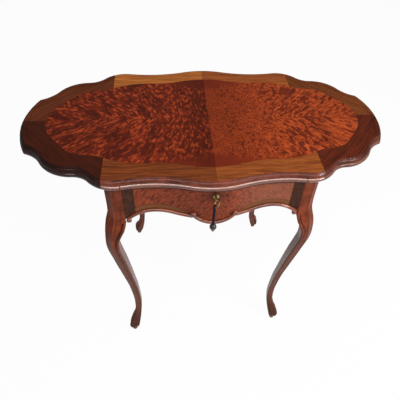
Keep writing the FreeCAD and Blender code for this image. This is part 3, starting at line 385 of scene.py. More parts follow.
def makeWalnut(name, kind, followsPiece=True, rough=0.36, coat=0.05, gloss=0.14,
               dustyAndShadedFoot=False, polishedWithHighlight=False):
    light, dark = walnut[kind], walnut[kind + "Dark"]
    paint = Paint(name)
    x, y, z = paint.axes()
    u, v = paint.axes("UV")[:2] if followsPiece else (x, y)
    wander = paint.noise((x, y, z), 16.0, 2.0)
    grain = paint.noise((u * 16, (v + wander * 0.006) * 360, 0.0), 1.0, 4.0, 0.6)
    cloud = paint.noise((x, y, z), 28.0, 3.0, 0.6)
    pores = paint.noise((u * 90, v * 1500, 0.0), 1.0, 2.0, 0.5)
    amount = grain * 0.42 + cloud * 0.58
    wood = amount.between(0.32, 0.68).ramp(dark, light)
    wood = paint.tint(wood, 0.9 + pores.between(0.30, 0.55) * 0.12)
    if dustyAndShadedFoot:
        # the shank is dusty, and toward the floor the leg is painted darker as shade round the foot
        wood = paint.blend(wood, walnut["legDust"], (1 - z.between(0.40, 0.60)) * 0.55)
        wood = paint.tint(wood, 0.34 + z.between(0.01, 0.15) * 0.52 + z.between(0.30, 0.62) * 0.14)
    if polishedWithHighlight:
        # a painted highlight along the bead's upper side, pale on the middle rim and faint on the
        # leaves' rims
        paintedHighlight = z.between(walnut["highlightFrom"], walnut["highlightTo"]) * (z < walnut["rimLow"])
        wood = paint.blend(wood, walnut[kind + "Worn"], paintedHighlight * 0.6)
        # polish wears off the upper part first and stays on the bead
        upper = z.between(walnut["rimLow"], walnut["rimLow"] + 0.0004)
        coat = (1 - upper * (1 - walnut["rimPolish"])) * coat
    return paint.finish(wood, rough + cloud * 0.12, pores * 0.5 + grain * 0.5, 0.00012,
                        coat=coat, coatRough=0.07, gloss=gloss)


def makeSoftwood():
    paint = Paint("inner_softwood_dry")
    x, y, z = paint.axes()
    wander = paint.noise((x, y, z), 8.0, 2.0)
    rings = paint.noise((x * 4, (y + z + wander * 0.02) * 120, 0.0), 1.0, 3.0, 0.55)
    fibre = paint.noise((x * 40, (y + z) * 900, 0.0), 1.0, 2.0, 0.5)
    stain = paint.noise((x, y, z), 7.0, 4.0, 0.6)
    wood = rings.between(0.25, 0.75).ramp(colour(128, 94, 62), colour(162, 124, 84))
    wood = paint.blend(wood, colour(92, 64, 42), stain.between(0.48, 0.75) * 0.5)
    wood = paint.tint(wood, 0.9 + fibre * 0.2)
    return paint.finish(wood, 0.72 + fibre * 0.1, rings * 0.6 + fibre * 0.4, 0.0003, gloss=0.25)


def makeMetal(name, bright, dull, rough, metallic=1.0):
    paint = Paint(name)
    x, y, z = paint.axes()
    patch = paint.noise((x, y, z), 160.0, 4.0, 0.6)
    pits = paint.noise((x, y, z), 900.0, 2.0, 0.5)
    metal = patch.between(0.38, 0.64).ramp(dull, bright)
    return paint.finish(metal, rough + patch * 0.2, pits, 0.00006, metallic=metallic)


def makeDarkWood(name, light, dark, rough=0.25, coat=0.5, gloss=0.5):
    paint = Paint(name)
    x, y, z = paint.axes()
    grain = paint.noise((x * 30, y * 30, z * 420), 1.0, 4.0, 0.6)
    cloud = paint.noise((x, y, z), 60.0, 3.0)
    wood = (grain * 0.5 + cloud * 0.5).between(0.38, 0.62).ramp(dark, light)
    return paint.finish(wood, rough + cloud * 0.1, grain, 0.0001,
                        coat=coat, coatRough=0.12, gloss=gloss)


def makeCordCloth():
    paint = Paint("navy_silk_cord")
    x, y, z = paint.axes()
    ply = (z * 2600 + (x + y) * 900).sine() * 0.5 + 0.5
    fluff = paint.noise((x, y, z), 1400.0, 3.0, 0.6)
    thread = (ply * 0.7 + fluff * 0.5).between(0.2, 0.9)
    silk = thread.ramp(colour(9, 7, 13), colour(40, 31, 48))
    return paint.finish(silk, 0.70 + fluff * 0.15, thread, 0.0005, gloss=0.15)


burlMaterial = makeBurl()
borderCentre = makeBorder("border_front", "gold", "along", 0.12, "brown")
borderCentreBack = makeBorder("border_back", "backRight", "along", 0.12, "back")
borderLeftFront = makeBorder("border_leaf_left_front", "leafLeftFront", "turnedBack")
borderLeftBack = makeBorder("border_leaf_left_back", "leafLeftBack", "turned")
borderRightFront = makeBorder("border_leaf_right_front", "leafRightFront", "turned", 0.6)
borderRightBack = makeBorder("border_leaf_right_back", "leafRightBack", "turnedBack", 0.15)
rimMaterial = makeWalnut("walnut_rim", "rim", coat=1.0, polishedWithHighlight=True)
# copies of the rim walnut with painted shade on the left leaf and painted light on the right leaf
rimLeftShadeMaterial = makeWalnut("walnut_rim_left_painted_shade", "rimLeft", coat=0.5, polishedWithHighlight=True)
rimRightLightMaterial = makeWalnut("walnut_rim_right_painted_light", "rimRight", coat=0.4, polishedWithHighlight=True)
legMaterial = makeWalnut("walnut_leg", "leg", coat=0.0, gloss=0.08, dustyAndShadedFoot=True)
flankSheenMaterial = makeWalnut("walnut_leg_flank_painted_sheen", "flank", coat=0.7, gloss=0.2)
legBackLightMaterial = makeWalnut("walnut_leg_back_painted_light", "legBack", coat=0.0, gloss=0.08)
beadMaterial = makeWalnut("walnut_bead", "bead", coat=0.9)
grooveShadeMaterial = makeWalnut("walnut_groove_painted_shade", "groove", rough=0.5, coat=0.0, gloss=0.1)
apronMaterial = makeWalnut("walnut_apron", "leg", followsPiece=False)
softwood = makeSoftwood()
brass = makeMetal("old_brass", colour(196, 176, 122), colour(120, 98, 54), 0.28)
iron = makeMetal("old_iron", colour(96, 92, 88), colour(46, 40, 36), 0.45)
knobWood = makeDarkWood("turned_dark_wood", colour(82, 44, 38), colour(34, 18, 18))
padWood = makeDarkWood("pale_pad_wood", colour(184, 130, 108), colour(140, 92, 74), 0.5, 0.0, 0.2)
bandWood = makeDarkWood("dark_end_band", colour(84, 46, 29), colour(56, 29, 19), 0.42, 0.0, 0.12)
cordCloth = makeCordCloth()
print("materials")


# drawer front: burl with a lighter crossband over the arches, darker round the keyhole
drawerLook = {
    "dark": colour(92, 34, 19), "light": colour(160, 73, 42), "band": colour(128, 80, 46),
    "bandEdge": colour(58, 27, 17), "top": colour(128, 58, 36), "topFrom": 0.6995,
    "archAt": 142, "archHigh": 622, "risingX": 100, "risingHigh": 615.5, "dropX": 214,
    "dropHigh": 586,
    "bandWide": 0.0215, "keyHigh": 0.686, "paintedSheen": colour(176, 116, 86),
}


def archCircle(x, z):
    # the circle through the arch's top with its middle right below, and through (x, z)
    across, fall = abs(x - drawerLook["archAt"]), drawerLook["archHigh"] - z
    radius = (across**2 + fall**2) / (2 * fall)
    return (drawerLook["archHigh"] - radius) * mm, radius * mm


def makeDrawerBurl():
    paint = Paint("drawer_burl_polished")
    x, z = paint.axes()[::2]
    out = x.size()
    cloud = paint.noise((x, z, 2.0), 26.0, 3.0)
    slant = (z - 0.64) * 0.7
    line = out + slant + cloud * 0.02
    streak = paint.noise((line * 165, (z - out * 0.8) * 52, 1.0), 1.0, 2.5, 0.6, 0.5)
    fine = paint.noise((x * 420, z * 420, 5.0), 1.0, 3.0, 0.6)
    figure = (streak * 0.7 + fine * 0.3).between(0.34, 0.64)
    wood = figure.ramp(drawerLook["dark"], drawerLook["light"])
    # the right part is painted lighter, as a painted sheen of the light from the right
    wood = paint.blend(wood, drawerLook["paintedSheen"], x.between(0.02, 0.13) * 0.34)
    inner = archCircle(drawerLook["risingX"], drawerLook["risingHigh"])
    outer = archCircle(drawerLook["dropX"], drawerLook["dropHigh"])
    beyond = out > drawerLook["archAt"] * mm
    heart = inner[0] + beyond * (outer[0] - inner[0])
    radius = inner[1] + beyond * (outer[1] - inner[1])
    away = out - drawerLook["archAt"] * mm
    gap = (away * away + (z - heart) * (z - heart)).root() - radius
    band = 1 - gap.between(drawerLook["bandWide"], drawerLook["bandWide"] + 0.0006)
    band = band * out.between(0.052, 0.064)
    cross = paint.noise((out * 700, gap * 60, 0.0), 1.0, 3.0, 0.5)
    wood = paint.blend(wood, paint.tint(drawerLook["band"], 0.75 + cross * 0.5), band * 0.85)
    rimmed = 1 - (gap - drawerLook["bandWide"]).size().between(0.0004, 0.0014)
    wood = paint.blend(wood, drawerLook["bandEdge"], rimmed * out.between(0.052, 0.064) * 0.6)
    keyDistance = (x * x + (z - drawerLook["keyHigh"]) * (z - drawerLook["keyHigh"]) * 2.2).root()
    wood = paint.blend(wood, colour(44, 18, 15), (1 - keyDistance.between(0.004, 0.046)) * 0.62)
    # a plain strip runs along the upper edge
    topFrom = drawerLook["topFrom"]
    wood = paint.blend(wood, drawerLook["top"], z.between(topFrom, topFrom + 0.0006))
    topLine = 1 - (z - topFrom).size().between(0.0003, 0.0012)
    wood = paint.blend(wood, drawerLook["bandEdge"], topLine * 0.7)
    return paint.finish(wood, 0.40 + fine * 0.12, fine, 0.0001, gloss=0.14)


drawerBurl = makeDrawerBurl()


def dress(material, *names):
    # a CAD piece keeps its mesh and gets a material
    for name in names:
        mesh = nodes[name].data
        mesh.materials.clear()
        mesh.materials.append(material)


dress(burlMaterial, "top_burl_veneer")
dress(borderCentre, "top_border_front")
dress(borderCentreBack, "top_border_back")
dress(drawerBurl, "drawer_burl_veneer")
dress(bandWood, "drawer_end_bands")
dress(apronMaterial, "back_apron")
dress(softwood, "top_panel", "drawer_front", "drawer_back", "drawer_bottom", "drawer_rail_upper",
      "drawer_rail_lower", "loper_guide_front", "loper_guide_middle", "loper_guide_back")
dress(brass, "keyhole_plate")
dress(iron, "lock_case", "lock_bolt")
for side, front, back in (("left", borderLeftFront, borderLeftBack),
                          ("right", borderRightFront, borderRightBack)):
    dress(burlMaterial, f"leaf_{side}_burl_veneer")
    dress(front, f"leaf_{side}_border_front")
    dress(back, f"leaf_{side}_border_back")
    dress(apronMaterial, f"side_apron_{side}")
    dress(softwood, f"leaf_{side}_panel", f"drawer_side_{side}", f"drawer_runner_{side}",
          f"loper_{side}", f"loper_{side}_peg")
    dress(brass, f"hinge_{side}_frame_plates", f"hinge_{side}_leaf_plates", f"hinge_{side}_pins")


def meshPiece(name, part, materials, body, marks=None, sharp=35):
    # a mesh in the frame's own place; part holds points, faces and a uv pair for every corner,
    # and marks holds the number of each face's material
    points, faces, uvs = part
    mesh = bpy.data.meshes.new(name)
    mesh.from_pydata(np.asarray(points).tolist(), [], [list(face) for face in faces])
    layer = mesh.uv_layers.new(name="UVMap")
    layer.data.foreach_set("uv", np.asarray(uvs, float).ravel())
    mesh.polygons.foreach_set("use_smooth", [True] * len(mesh.polygons))
    mesh.set_sharp_from_angle(angle=math.radians(sharp))
    for material in materials:
        mesh.materials.append(material)
    if marks is not None:
        mesh.polygons.foreach_set("material_index", marks)
    mesh.update()
    piece = bpy.data.objects.new(name, mesh)
    scene.collection.objects.link(piece)
    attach(piece, body)
    return piece


def onCircle(heart, radius, angles):
    return np.asarray(heart) + radius * np.column_stack([np.cos(angles), np.sin(angles)])


def gridFaces(rows, columns, closed):
    # four corners for each cell of a grid of rows and columns, and the same corners' steps
    wide = columns if closed else columns - 1
    cells = np.meshgrid(np.arange(rows - 1), np.arange(wide), indexing="ij")
    row, column = [line.ravel() for line in cells]
    following = (column + 1) % columns
    faces = np.stack([row * columns + column, row * columns + following,
                      (row + 1) * columns + following, (row + 1) * columns + column], 1)
    steps = np.stack([np.stack([row, column], 1), np.stack([row, column + 1], 1),
                      np.stack([row + 1, column + 1], 1), np.stack([row + 1, column], 1)], 1)
    return faces, steps


def skin(grid, closed=True, capped=True):
    # points, faces and uvs in metres of a surface given as rows of points, its rows closed round
    rows, columns = grid.shape[:2]
    faces, steps = gridFaces(rows, columns, closed)
    ring = np.concatenate([grid, grid[:, :1]], 1) if closed else grid
    around = np.linalg.norm(np.diff(ring, axis=1), axis=2).mean(0)
    along = np.linalg.norm(np.diff(grid, axis=0), axis=2).mean(1)
    v = np.concatenate([[0], np.cumsum(around)])
    u = np.concatenate([[0], np.cumsum(along)])
    uvs = np.stack([u[steps[..., 0]], v[steps[..., 1]]], -1).reshape(-1, 2)
    faces = [tuple(face) for face in faces]
    if capped and closed:
        first, last = list(range(columns))[::-1], [(rows - 1) * columns + i for i in range(columns)]
        faces += [tuple(first), tuple(last)]
        uvs = np.concatenate([uvs, grid[0, ::-1, :2], grid[-1, :, :2]])
    return grid.reshape(-1, 3), faces, uvs


def gathered(parts):
    # several skins as one
    points, faces, uvs, count = [], [], [], 0
    for some, sides, pairs in parts:
        points.append(some)
        faces += [tuple(corner + count for corner in side) for side in sides]
        uvs.append(pairs)
        count += len(some)
    return np.concatenate(points), faces, np.concatenate(uvs)


def flipped(faces, uvs):
    # the faces turned round, each with its uv pairs
    starts = np.cumsum([0] + [len(face) for face in faces])
    turned = np.concatenate([uvs[a:b][::-1] for a, b in zip(starts, starts[1:])])
    return [tuple(reversed(face)) for face in faces], turned


def turnedOver(part, signX, signY):
    # a mirrored copy, its faces turned round where one mirror alone was used
    points, faces, uvs = part
    if signX * signY < 0:
        faces, uvs = flipped(faces, uvs)
    return points * np.array([signX, signY, 1.0]), faces, uvs


def tube(path, radii, sides=12):
    # a round bar along a path; its rings keep the same twist all along
    path = np.asarray(path, float)
    radii = np.broadcast_to(radii, len(path))
    ahead = np.gradient(path, axis=0)
    ahead /= np.linalg.norm(ahead, axis=1)[:, None]
    side = np.zeros_like(path)
    previous = np.cross(ahead[0], [0.31, 0.52, 0.79])
    for i, direction in enumerate(ahead):
        previous = previous - direction * previous.dot(direction)
        previous /= np.linalg.norm(previous)
        side[i] = previous
    other = np.cross(ahead, side)
    turn = np.linspace(0, 2 * math.pi, sides, endpoint=False)
    ring = (np.cos(turn)[None, :, None] * side[:, None]
            + np.sin(turn)[None, :, None] * other[:, None])
    return skin(path[:, None] + ring * radii[:, None, None])


# outline of the top: the lip line of the moulded rim as a chain of tangent arcs, in millimetres
rim = {
    "halfDepth": 227.5, "tip": 455, "jointAt": 253, "jointGap": 0.5,
    "centreMarks": [(56, 7.5), (211.5, 15.5)],  # place along, distance in from the long side
    "leafMarks": [(0.12, 39.5), (0.34, 60.5), (0.68, 101.5), (0.895, 140)],  # share of the leaf
    "drawerHalf": 211.0, "drawerGap": 1.8, "step": 3.0, "flatFrom": 734.99,
}
rimStart = (0, rim["halfDepth"])
rimEnds = [(along, rim["halfDepth"] - inset) for along, inset in rim["centreMarks"]]
leafLong = rim["tip"] - rim["jointAt"]
rimEnds += [(rim["jointAt"] + share * leafLong, rim["halfDepth"] - inset)
            for share, inset in rim["leafMarks"]]


def tangentArcs(start, ends):
    arcs, here, heading = [], np.array(start, float), 0.0
    for there in np.array(ends, float):
        chord = there - here
        turn = 2 * (math.atan2(chord[1], chord[0]) - heading)
        radius = -math.hypot(*chord) / (2 * math.sin(turn / 2))
        first = heading + math.pi / 2
        centre = here - radius * np.array([math.cos(first), math.sin(first)])
        arcs.append((centre, radius, first, first + turn))
        heading += turn
        here = there
    return arcs


rimArcs = tangentArcs(rimStart, rimEnds)
cornerX, cornerY = rimEnds[-1]
endRadius = ((rim["tip"] - cornerX) ** 2 + cornerY**2) / (2 * (rim["tip"] - cornerX))
endCentre = np.array([rim["tip"] - endRadius, 0.0])
rimArcs.append((endCentre, endRadius, math.asin(cornerY / endRadius), 0.0))


def mitreAngles(reach):
    # where the last two arcs, both moved out by reach, cross
    (a, radiusA, *_), (b, radiusB, *_) = rimArcs[-2], rimArcs[-1]
    ra, rb = radiusA + reach, radiusB + reach
    line = b - a
    length = math.hypot(*line)
    along = (length**2 + ra**2 - rb**2) / (2 * length)
    aside = math.sqrt(max(ra**2 - along**2, 0))
    foot = a + line * along / length
    normal = np.array([-line[1], line[0]]) / length
    corner = min((foot + normal * aside, foot - normal * aside),
                 key=lambda spot: np.hypot(*(spot - np.array([cornerX, cornerY]))))
    return [math.atan2(*((corner - centre)[::-1] * sign)) for centre, sign in
            ((a, math.copysign(1, ra)), (b, math.copysign(1, rb)))]


def rimLine(reach, low, high):
    # points of one quarter's outline from x = low to x = high, moved out by reach
    upper, lower = mitreAngles(reach)
    points = []
    startX = 0
    for count, (centre, radius, first, last) in enumerate(rimArcs):
        endX = rim["tip"] if count == len(rimArcs) - 1 else rimEnds[count][0]
        if endX > low and startX < high:
            steps = max(3, int(abs(radius * (last - first)) / rim["step"]))
            begin = lower if count == len(rimArcs) - 1 else first
            stop = upper if count == len(rimArcs) - 2 else last
            if startX < low:
                begin = math.acos((low - centre[0]) / (radius + reach))
            if endX > high:
                stop = math.acos((high - centre[0]) / (radius + reach))
            turn = np.linspace(begin, stop, steps + 1)
            spots = onCircle(centre, radius + reach, turn)
            points.append(spots if not points else spots[1:])
        startX = endX
    return np.concatenate(points)


def bowed(first, middle, last, steps):
    # points of the arc through three points of a section, without the first
    (ax, ay), (bx, by), (cx, cy) = first, middle, last
    twice = 2 * (ax * (by - cy) + bx * (cy - ay) + cx * (ay - by))
    a, b, c = ax**2 + ay**2, bx**2 + by**2, cx**2 + cy**2
    ux = (a * (by - cy) + b * (cy - ay) + c * (ay - by)) / twice
    uy = (a * (cx - bx) + b * (ax - cx) + c * (bx - ax)) / twice
    angles = np.unwrap([math.atan2(y - uy, x - ux) for x, y in (first, middle, last)])
    radius = math.hypot(ax - ux, ay - uy)
    turn = np.interp(np.linspace(0, 2, steps + 1)[1:], [0, 1, 2], angles)
    return [(ux + radius * math.cos(angle), uy + radius * math.sin(angle)) for angle in turn]


# the flat of the upper part carries the border's veneer out to a narrow lip, and its lower
# edge is rebated for the bead, whose stretch on the drawer front slides out of it
upperSection = [(-8, 718.4), (-8, 735), (0.9, 735), (1.1, 734.2)]
upperSection += bowed((1.1, 734.2), (2.2, 734.95), (3.3, 734.2), 6)
upperSection += [(3.3, 732.6), (3.8, 732.0), (4.6, 732.0)]
upperSection += bowed((4.6, 732.0), (7.7, 729.0), (9.0, 724.2), 10)
upperSection += [(9.0, 723.2), (7.2, 722.6), (7.2, 721.9), (4.6, 721.9), (4.6, 718.4)]
# the bead is eased by wear above, so that it catches the light along its whole length
roundBead = [(5.0, 721.5), (7.2, 721.5)] + bowed((7.2, 721.5), (8.9, 720.55), (10.4, 719.3), 5)
roundBead += bowed((10.4, 719.3), (11, 715.2), (9.4, 710.4), 10) + [(8.0, 709.2), (5.8, 709)]
beadSection = [(-8, 709), (-8, 718), (5.0, 718)] + roundBead
fullSection = [(-8, 709)] + upperSection[1:-3] + roundBead[1:]


def rimRun(section, low, high, both):
    # the section carried along a quarter of the outline; both: mirrored on to the other half
    columns = []
    for reach, height in section:
        line = rimLine(reach, low, high)
        if both == "x":
            line = np.concatenate([(line * [-1, 1])[:0:-1], line])
        if both == "y":
            line = np.concatenate([line, (line * [1, -1])[-2::-1]])
        columns.append(np.column_stack([line, np.full(len(line), height)]))
    return skin(np.stack(columns, 1))


def placed(part):
    # from millimetres about the table's own middle to the frame
    points, faces, uvs = part
    return points * mm + np.array([0, setback, 0]), faces, uvs * mm


halfGap = rim["drawerHalf"] + rim["drawerGap"]
backRim = rimRun(fullSection, 0, rim["jointAt"], "x")
leafRim = rimRun(fullSection, rim["jointAt"] + rim["jointGap"], rim["tip"] + 1, "y")
stub = rimRun(fullSection, halfGap, rim["jointAt"], "")
bridge = rimRun(upperSection, 0, halfGap, "x")
frontRim = gathered([turnedOver(bridge, 1, -1), turnedOver(stub, 1, -1), turnedOver(stub, -1, -1)])
carriedBead = turnedOver(rimRun(beadSection, 0, rim["drawerHalf"], "x"), 1, -1)
for name, part, wood, borders, body, node in (
    ("rim_back", backRim, rimMaterial, (borderCentreBack, borderCentreBack),
     "frame", "top_moulding_back"),
    ("rim_front", frontRim, rimMaterial, (borderCentre, borderCentre),
     "frame", "top_moulding_front"),
    ("rim_leaf_right", leafRim, rimRightLightMaterial, (borderRightFront, borderRightBack),
     "leaf_right", "leaf_right_moulding"),
    ("rim_leaf_left", turnedOver(leafRim, -1, 1), rimLeftShadeMaterial,
     (borderLeftFront, borderLeftBack), "leaf_left", "leaf_left_moulding"),
    ("rim_drawer_bead", carriedBead, rimMaterial, (), "drawer", "drawer_rim_bead"),
):
    points, faces = part[:2]
    low = np.array([points[list(face), 2].min() for face in faces])
    back = np.array([points[list(face), 1].mean() > 0 for face in faces])
    marks = np.where(low > rim["flatFrom"], 1 + back, 0)
    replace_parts(meshPiece(name, placed(part), (wood, *borders), body, marks), node)
print("moulded rim")


# cabriole legs: reaches in millimetres from the middle of the foot, each with its height
leg = {
    "foot": (235, 198),
    "outer": [(1.0, 8), (4.5, 13), (11.4, 24), (13.2, 33), (8.4, 56), (-3.4, 84), (-9.6, 112),
              (-10.5, 145), (-5.2, 228), (8.6, 330), (21.8, 420), (31.6, 508), (30.2, 537),
              (27.4, 560), (17, 606), (15.6, 645), (15.6, 709)],
    "inner": [(6.0, 8), (12.0, 22), (18.4, 46), (26.8, 100), (29.8, 145), (26.8, 230),
              (21.0, 300), (9.3, 420), (3.2, 470), (0.2, 502), (0.6, 524), (8.4, 548),
              (18.5, 570), (23, 592), (23, 709)],
    "cant": [(1.5, 8), (4, 45), (4, 140), (14, 515), (13, 655), (13, 709)],
    "beadRadius": [(2.0, 12), (2.6, 120), (3.3, 400), (3.7, 560), (3.7, 709)],
    "grooveFrom": [(3.6, 8), (4.2, 120), (5.2, 400), (6.2, 560), (6.2, 709)],
    "rounded": [(4, 8), (8, 40), (8, 80), (5, 120), (1.5, 200), (0, 300), (0, 709)],
    "roundedOver": 11,
    "grooveWide": [(1.4, 8), (1.8, 150), (2.6, 400), (4.0, 560), (4.0, 709)],
    "grooveDeep": [(0.1, 8), (0.3, 150), (0.6, 400), (1.0, 560), (1.0, 709)],
    "rows": 300, "arris": 1.0, "earHigh": 592, "grooveLow": 300, "toeHigh": 20, "toeHollow": 5.5,
    "flankColumns": 16, "arrisHalf": 1.4, "lineFrom": 4.6, "lineHalf": 0.9, "lineDeep": 0.5,
    "eased": 1.2,
}


def reachAt(marks, heights):
    # a curve through the marks: each mark's slope is the harmonic mean of the slopes of the
    # straight lines beside it, and 0 where those turn
    reach, high = np.array(marks, float).T
    steps = np.diff(high)
    rises = np.diff(reach) / steps
    product, total = rises[:-1] * rises[1:], rises[:-1] + rises[1:]
    slopes = np.zeros(len(high))
    slopes[1:-1] = np.where(product > 0, 2 * product / np.where(total == 0, 1, total), 0)
    spot = np.clip(np.searchsorted(high, heights, side="right") - 1, 0, len(steps) - 1)
    t = np.clip((heights - high[spot]) / steps[spot], 0, 1)
    rise = t * t * (3 - 2 * t)
    return (reach[spot] * (1 - rise) + reach[spot + 1] * rise
            + steps[spot] * t * (1 - t) * (slopes[spot] * (1 - t) - slopes[spot + 1] * t))


def innerRounding(heights, fromInner):
    return reachAt(leg["rounded"], heights) * np.clip(1 - fromInner / leg["roundedOver"], 0, 1) ** 2


def legBody():
    heights = np.linspace(8, 709, leg["rows"])
    outer, inner, cant = [reachAt(leg[name], heights) for name in ("outer", "inner", "cant")]
    start, grooveWide, grooveDeep = [reachAt(leg[name], heights)[:, None]
                                     for name in ("grooveFrom", "grooveWide", "grooveDeep")]
    # places across the broad face: even steps, with closer ones in the groove by the inner bead
    wide = (outer + inner - cant)[:, None]
    edge = start * np.array([0, 0.1, 0.25, 0.5, 0.8])[None]
    groove = start + grooveWide * np.linspace(0, 1, 8)[None]
    stop = start + grooveWide
    rest = stop + (wide - stop) * np.linspace(0, 1, 16)[None, 1:]
    fromInner = np.concatenate([edge, groove, rest], 1)
    fromArris = wide - fromInner
    # the groove ends below the ear, and a fine hollow line runs beside the arris
    carved = 1 - np.clip((heights - leg["earHigh"] + 8) / 10, 0, 1)[:, None]
    inGroove = np.clip((fromInner - start) / grooveWide, 0, 1)
    relief = -grooveDeep * np.sin(math.pi * inGroove) * carved
    line = (fromArris - leg["lineFrom"]) / leg["lineHalf"]
    relief = relief - leg["lineDeep"] * np.exp(-(line**2))
    relief = relief + leg["arris"] * np.exp(-((fromArris / leg["arrisHalf"] - 1) ** 2))
    relief = relief - leg["eased"] * np.exp(-((fromInner / leg["eased"]) ** 2))
    # toward the foot the section grows round
    relief = relief - innerRounding(heights[:, None], fromInner)
    # the toe is scooped out under its scroll
    toe = np.hypot(fromInner - inner[:, None] - 1.0, (heights - leg["toeHigh"])[:, None])
    relief = relief - 2.0 * np.clip(1 - toe / leg["toeHollow"], 0, 1)
    broadX = -inner[:, None] + fromInner
    broadY = outer[:, None] + relief
    t = np.linspace(0, 1, 10)[None, 1:-1]
    hollow = -0.09 * cant[:, None] * np.sin(math.pi * t)
    cantX = (outer - cant)[:, None] + cant[:, None] * t + hollow * 0.7
    cantY = outer[:, None] - cant[:, None] * t + hollow * 0.7
    flat = np.broadcast_to(-inner[:, None], (len(heights), 8))
    sideway = outer[:, None] - t * (outer + inner)[:, None]
    xs = [broadX, cantX, broadY[:, ::-1], sideway, flat]
    ys = [broadY, cantY, broadX[:, ::-1], flat, -inner[:, None] + t * (outer + inner)[:, None]]
    x, y = np.concatenate(xs, 1), np.concatenate(ys, 1)
    z = np.broadcast_to(heights[:, None], x.shape)
    return skin(np.stack([x, y, z], -1)[:, ::-1])


def legWoods(part, count):
    # the number of each face's wood: 1, dark walnut as painted shade, in the groove and in the
    # toe's scoop, 2, a paler copy with a painted sheen, on the two flanks that look toward the
    # table's middle, 0 elsewhere
    points, faces = part[:2]
    middle = points[np.array(faces[:count])].mean(1)
    high = middle[:, 2]
    names = ("outer", "inner", "grooveFrom", "grooveWide", "grooveDeep")
    outer, inner, start, wide, deep = [reachAt(leg[name], high) for name in names]
    cut = np.zeros(len(faces), int)
    for across, through in ((0, 1), (1, 0)):
        atFace = middle[:, through] > outer - deep - 0.8
        place = (middle[:, across] + inner - start) / wide
        inGroove = (place > 0.02) & (place < 0.40)
        inGroove &= (high > leg["grooveLow"]) & (high < leg["earHigh"] - 4)
        inToe = np.hypot(middle[:, across] - 1.0, high - leg["toeHigh"]) < leg["toeHollow"] - 1
        inToe &= middle[:, through] > outer - 2.6
        cut[:count] |= (atFace & inGroove) | inToe
    # the first columns of the skin are the two flanks that look toward the table's middle
    columns = count // (leg["rows"] - 1)
    cut[:count][np.arange(count) % columns < leg["flankColumns"]] = 2
    return cut


def spiral(heart, first, last, turns, start, steps=46, sense=1):
    # flat spiral about heart in the plane of x and z, from radius first to radius last
    t = np.linspace(0, 1, steps)
    radius = first + (last - first) * t
    angle = start + sense * 2 * math.pi * turns * t
    return onCircle(heart, radius[:, None], angle)


def swapped(part):
    # the same form on the leg's other broad face
    points, faces, uvs = part
    faces, uvs = flipped(faces, uvs)
    return points[:, [1, 0, 2]], faces, uvs


def legBeads():
    # the bead along the inner edge, curled up at the ear, and the scroll on the toe
    heights = np.linspace(leg["earHigh"] - 4, 14, 220)
    curl = spiral((-17.0, leg["earHigh"] + 1), 1.2, 4.8, 1.4, math.pi * 0.2, sense=1)
    edge = np.column_stack([-reachAt(leg["inner"], heights) + 2.4, heights])
    line = np.concatenate([curl, edge])
    radii = reachAt(leg["beadRadius"], line[:, 1])
    radii[:len(curl)] = np.linspace(2.4, radii[len(curl)], len(curl))
    sunk = 0.6 + innerRounding(line[:, 1], 2.4)
    path = np.column_stack([line[:, 0], reachAt(leg["outer"], line[:, 1]) - sunk, line[:, 1]])
    toe = spiral((1.0, 20), 2.6, 5.6, 0.8, -0.6, sense=1)
    scroll = np.column_stack([toe[:, 0], reachAt(leg["outer"], toe[:, 1]) - 0.6, toe[:, 1]])
    parts = [tube(path, radii, 14), tube(scroll, np.linspace(1.1, 1.6, len(toe)), 12)]
    return parts + [swapped(part) for part in parts]


legBodyPart = legBody()
cut = legWoods(legBodyPart, len(legBodyPart[1]) - 2)
legPart = gathered([legBodyPart] + legBeads())
cut = np.concatenate([cut, np.zeros(len(legPart[1]) - len(cut), int)])
footX, footY = leg["foot"]
legPart = (legPart[0] + np.array([footX, footY, 0]), legPart[1], legPart[2])
for name, signX, signY in (("back_right", 1, 1), ("back_left", -1, 1),
                           ("front_right", 1, -1), ("front_left", -1, -1)):
    part = placed(turnedOver(legPart, signX, signY))
    # front legs: walnut with painted shade at the foot and a painted sheen on the flanks; back
    # legs: a lighter copy as painted light, with neither
    wood, flank = (legBackLightMaterial, legBackLightMaterial) if signY > 0 else (legMaterial, flankSheenMaterial)
    woods = (wood, grooveShadeMaterial, flank)
    piece = meshPiece("carved_leg_" + name, part, woods, "frame", cut)
    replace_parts(piece, "leg_" + name)
print("legs")


def lathe(profile, middle, axis="z", sides=48):
    # turned piece: profile holds (radius, place along the axis) in millimetres
    turn = np.linspace(0, 2 * math.pi, sides, endpoint=False)
    radius = np.array([r for r, h in profile])[:, None]
    height = np.array([h for r, h in profile])[:, None] * np.ones(sides)[None]
    a, b = radius * np.cos(turn), radius * np.sin(turn)
    grid = np.stack([a, b, height] if axis == "z" else [b, height, a], -1)
    return skin(grid + np.array(middle, float))


# turned pads under the feet
padShape = [(0.2, 0), (5.6, 0), (6.8, 0.6), (7.4, 2.0), (7.4, 4.6), (6.8, 6.6), (5.8, 8), (0.2, 8)]
padPart = gathered([lathe(padShape, (signX * footX, signY * footY, 0))
                    for signX in (1, -1) for signY in (1, -1)])
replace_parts(meshPiece("turned_foot_pads", placed(padPart), (padWood,), "frame"), "foot_pads")

# carved bead along the drawer's scalloped edge
bead = {
    "arch": (142, 622), "rising": (100, 615.5), "volute": (50, 610), "drop": (214, 586),
    "lobe": 589,
    "wide": 6.0, "faceReach": 1.5, "round": 4.5, "standsOut": 1.6, "lift": 0.5, "endsAt": 207,
    "curl": (50.5, 616.8), "dropCurl": (203.6, 593.2),
}


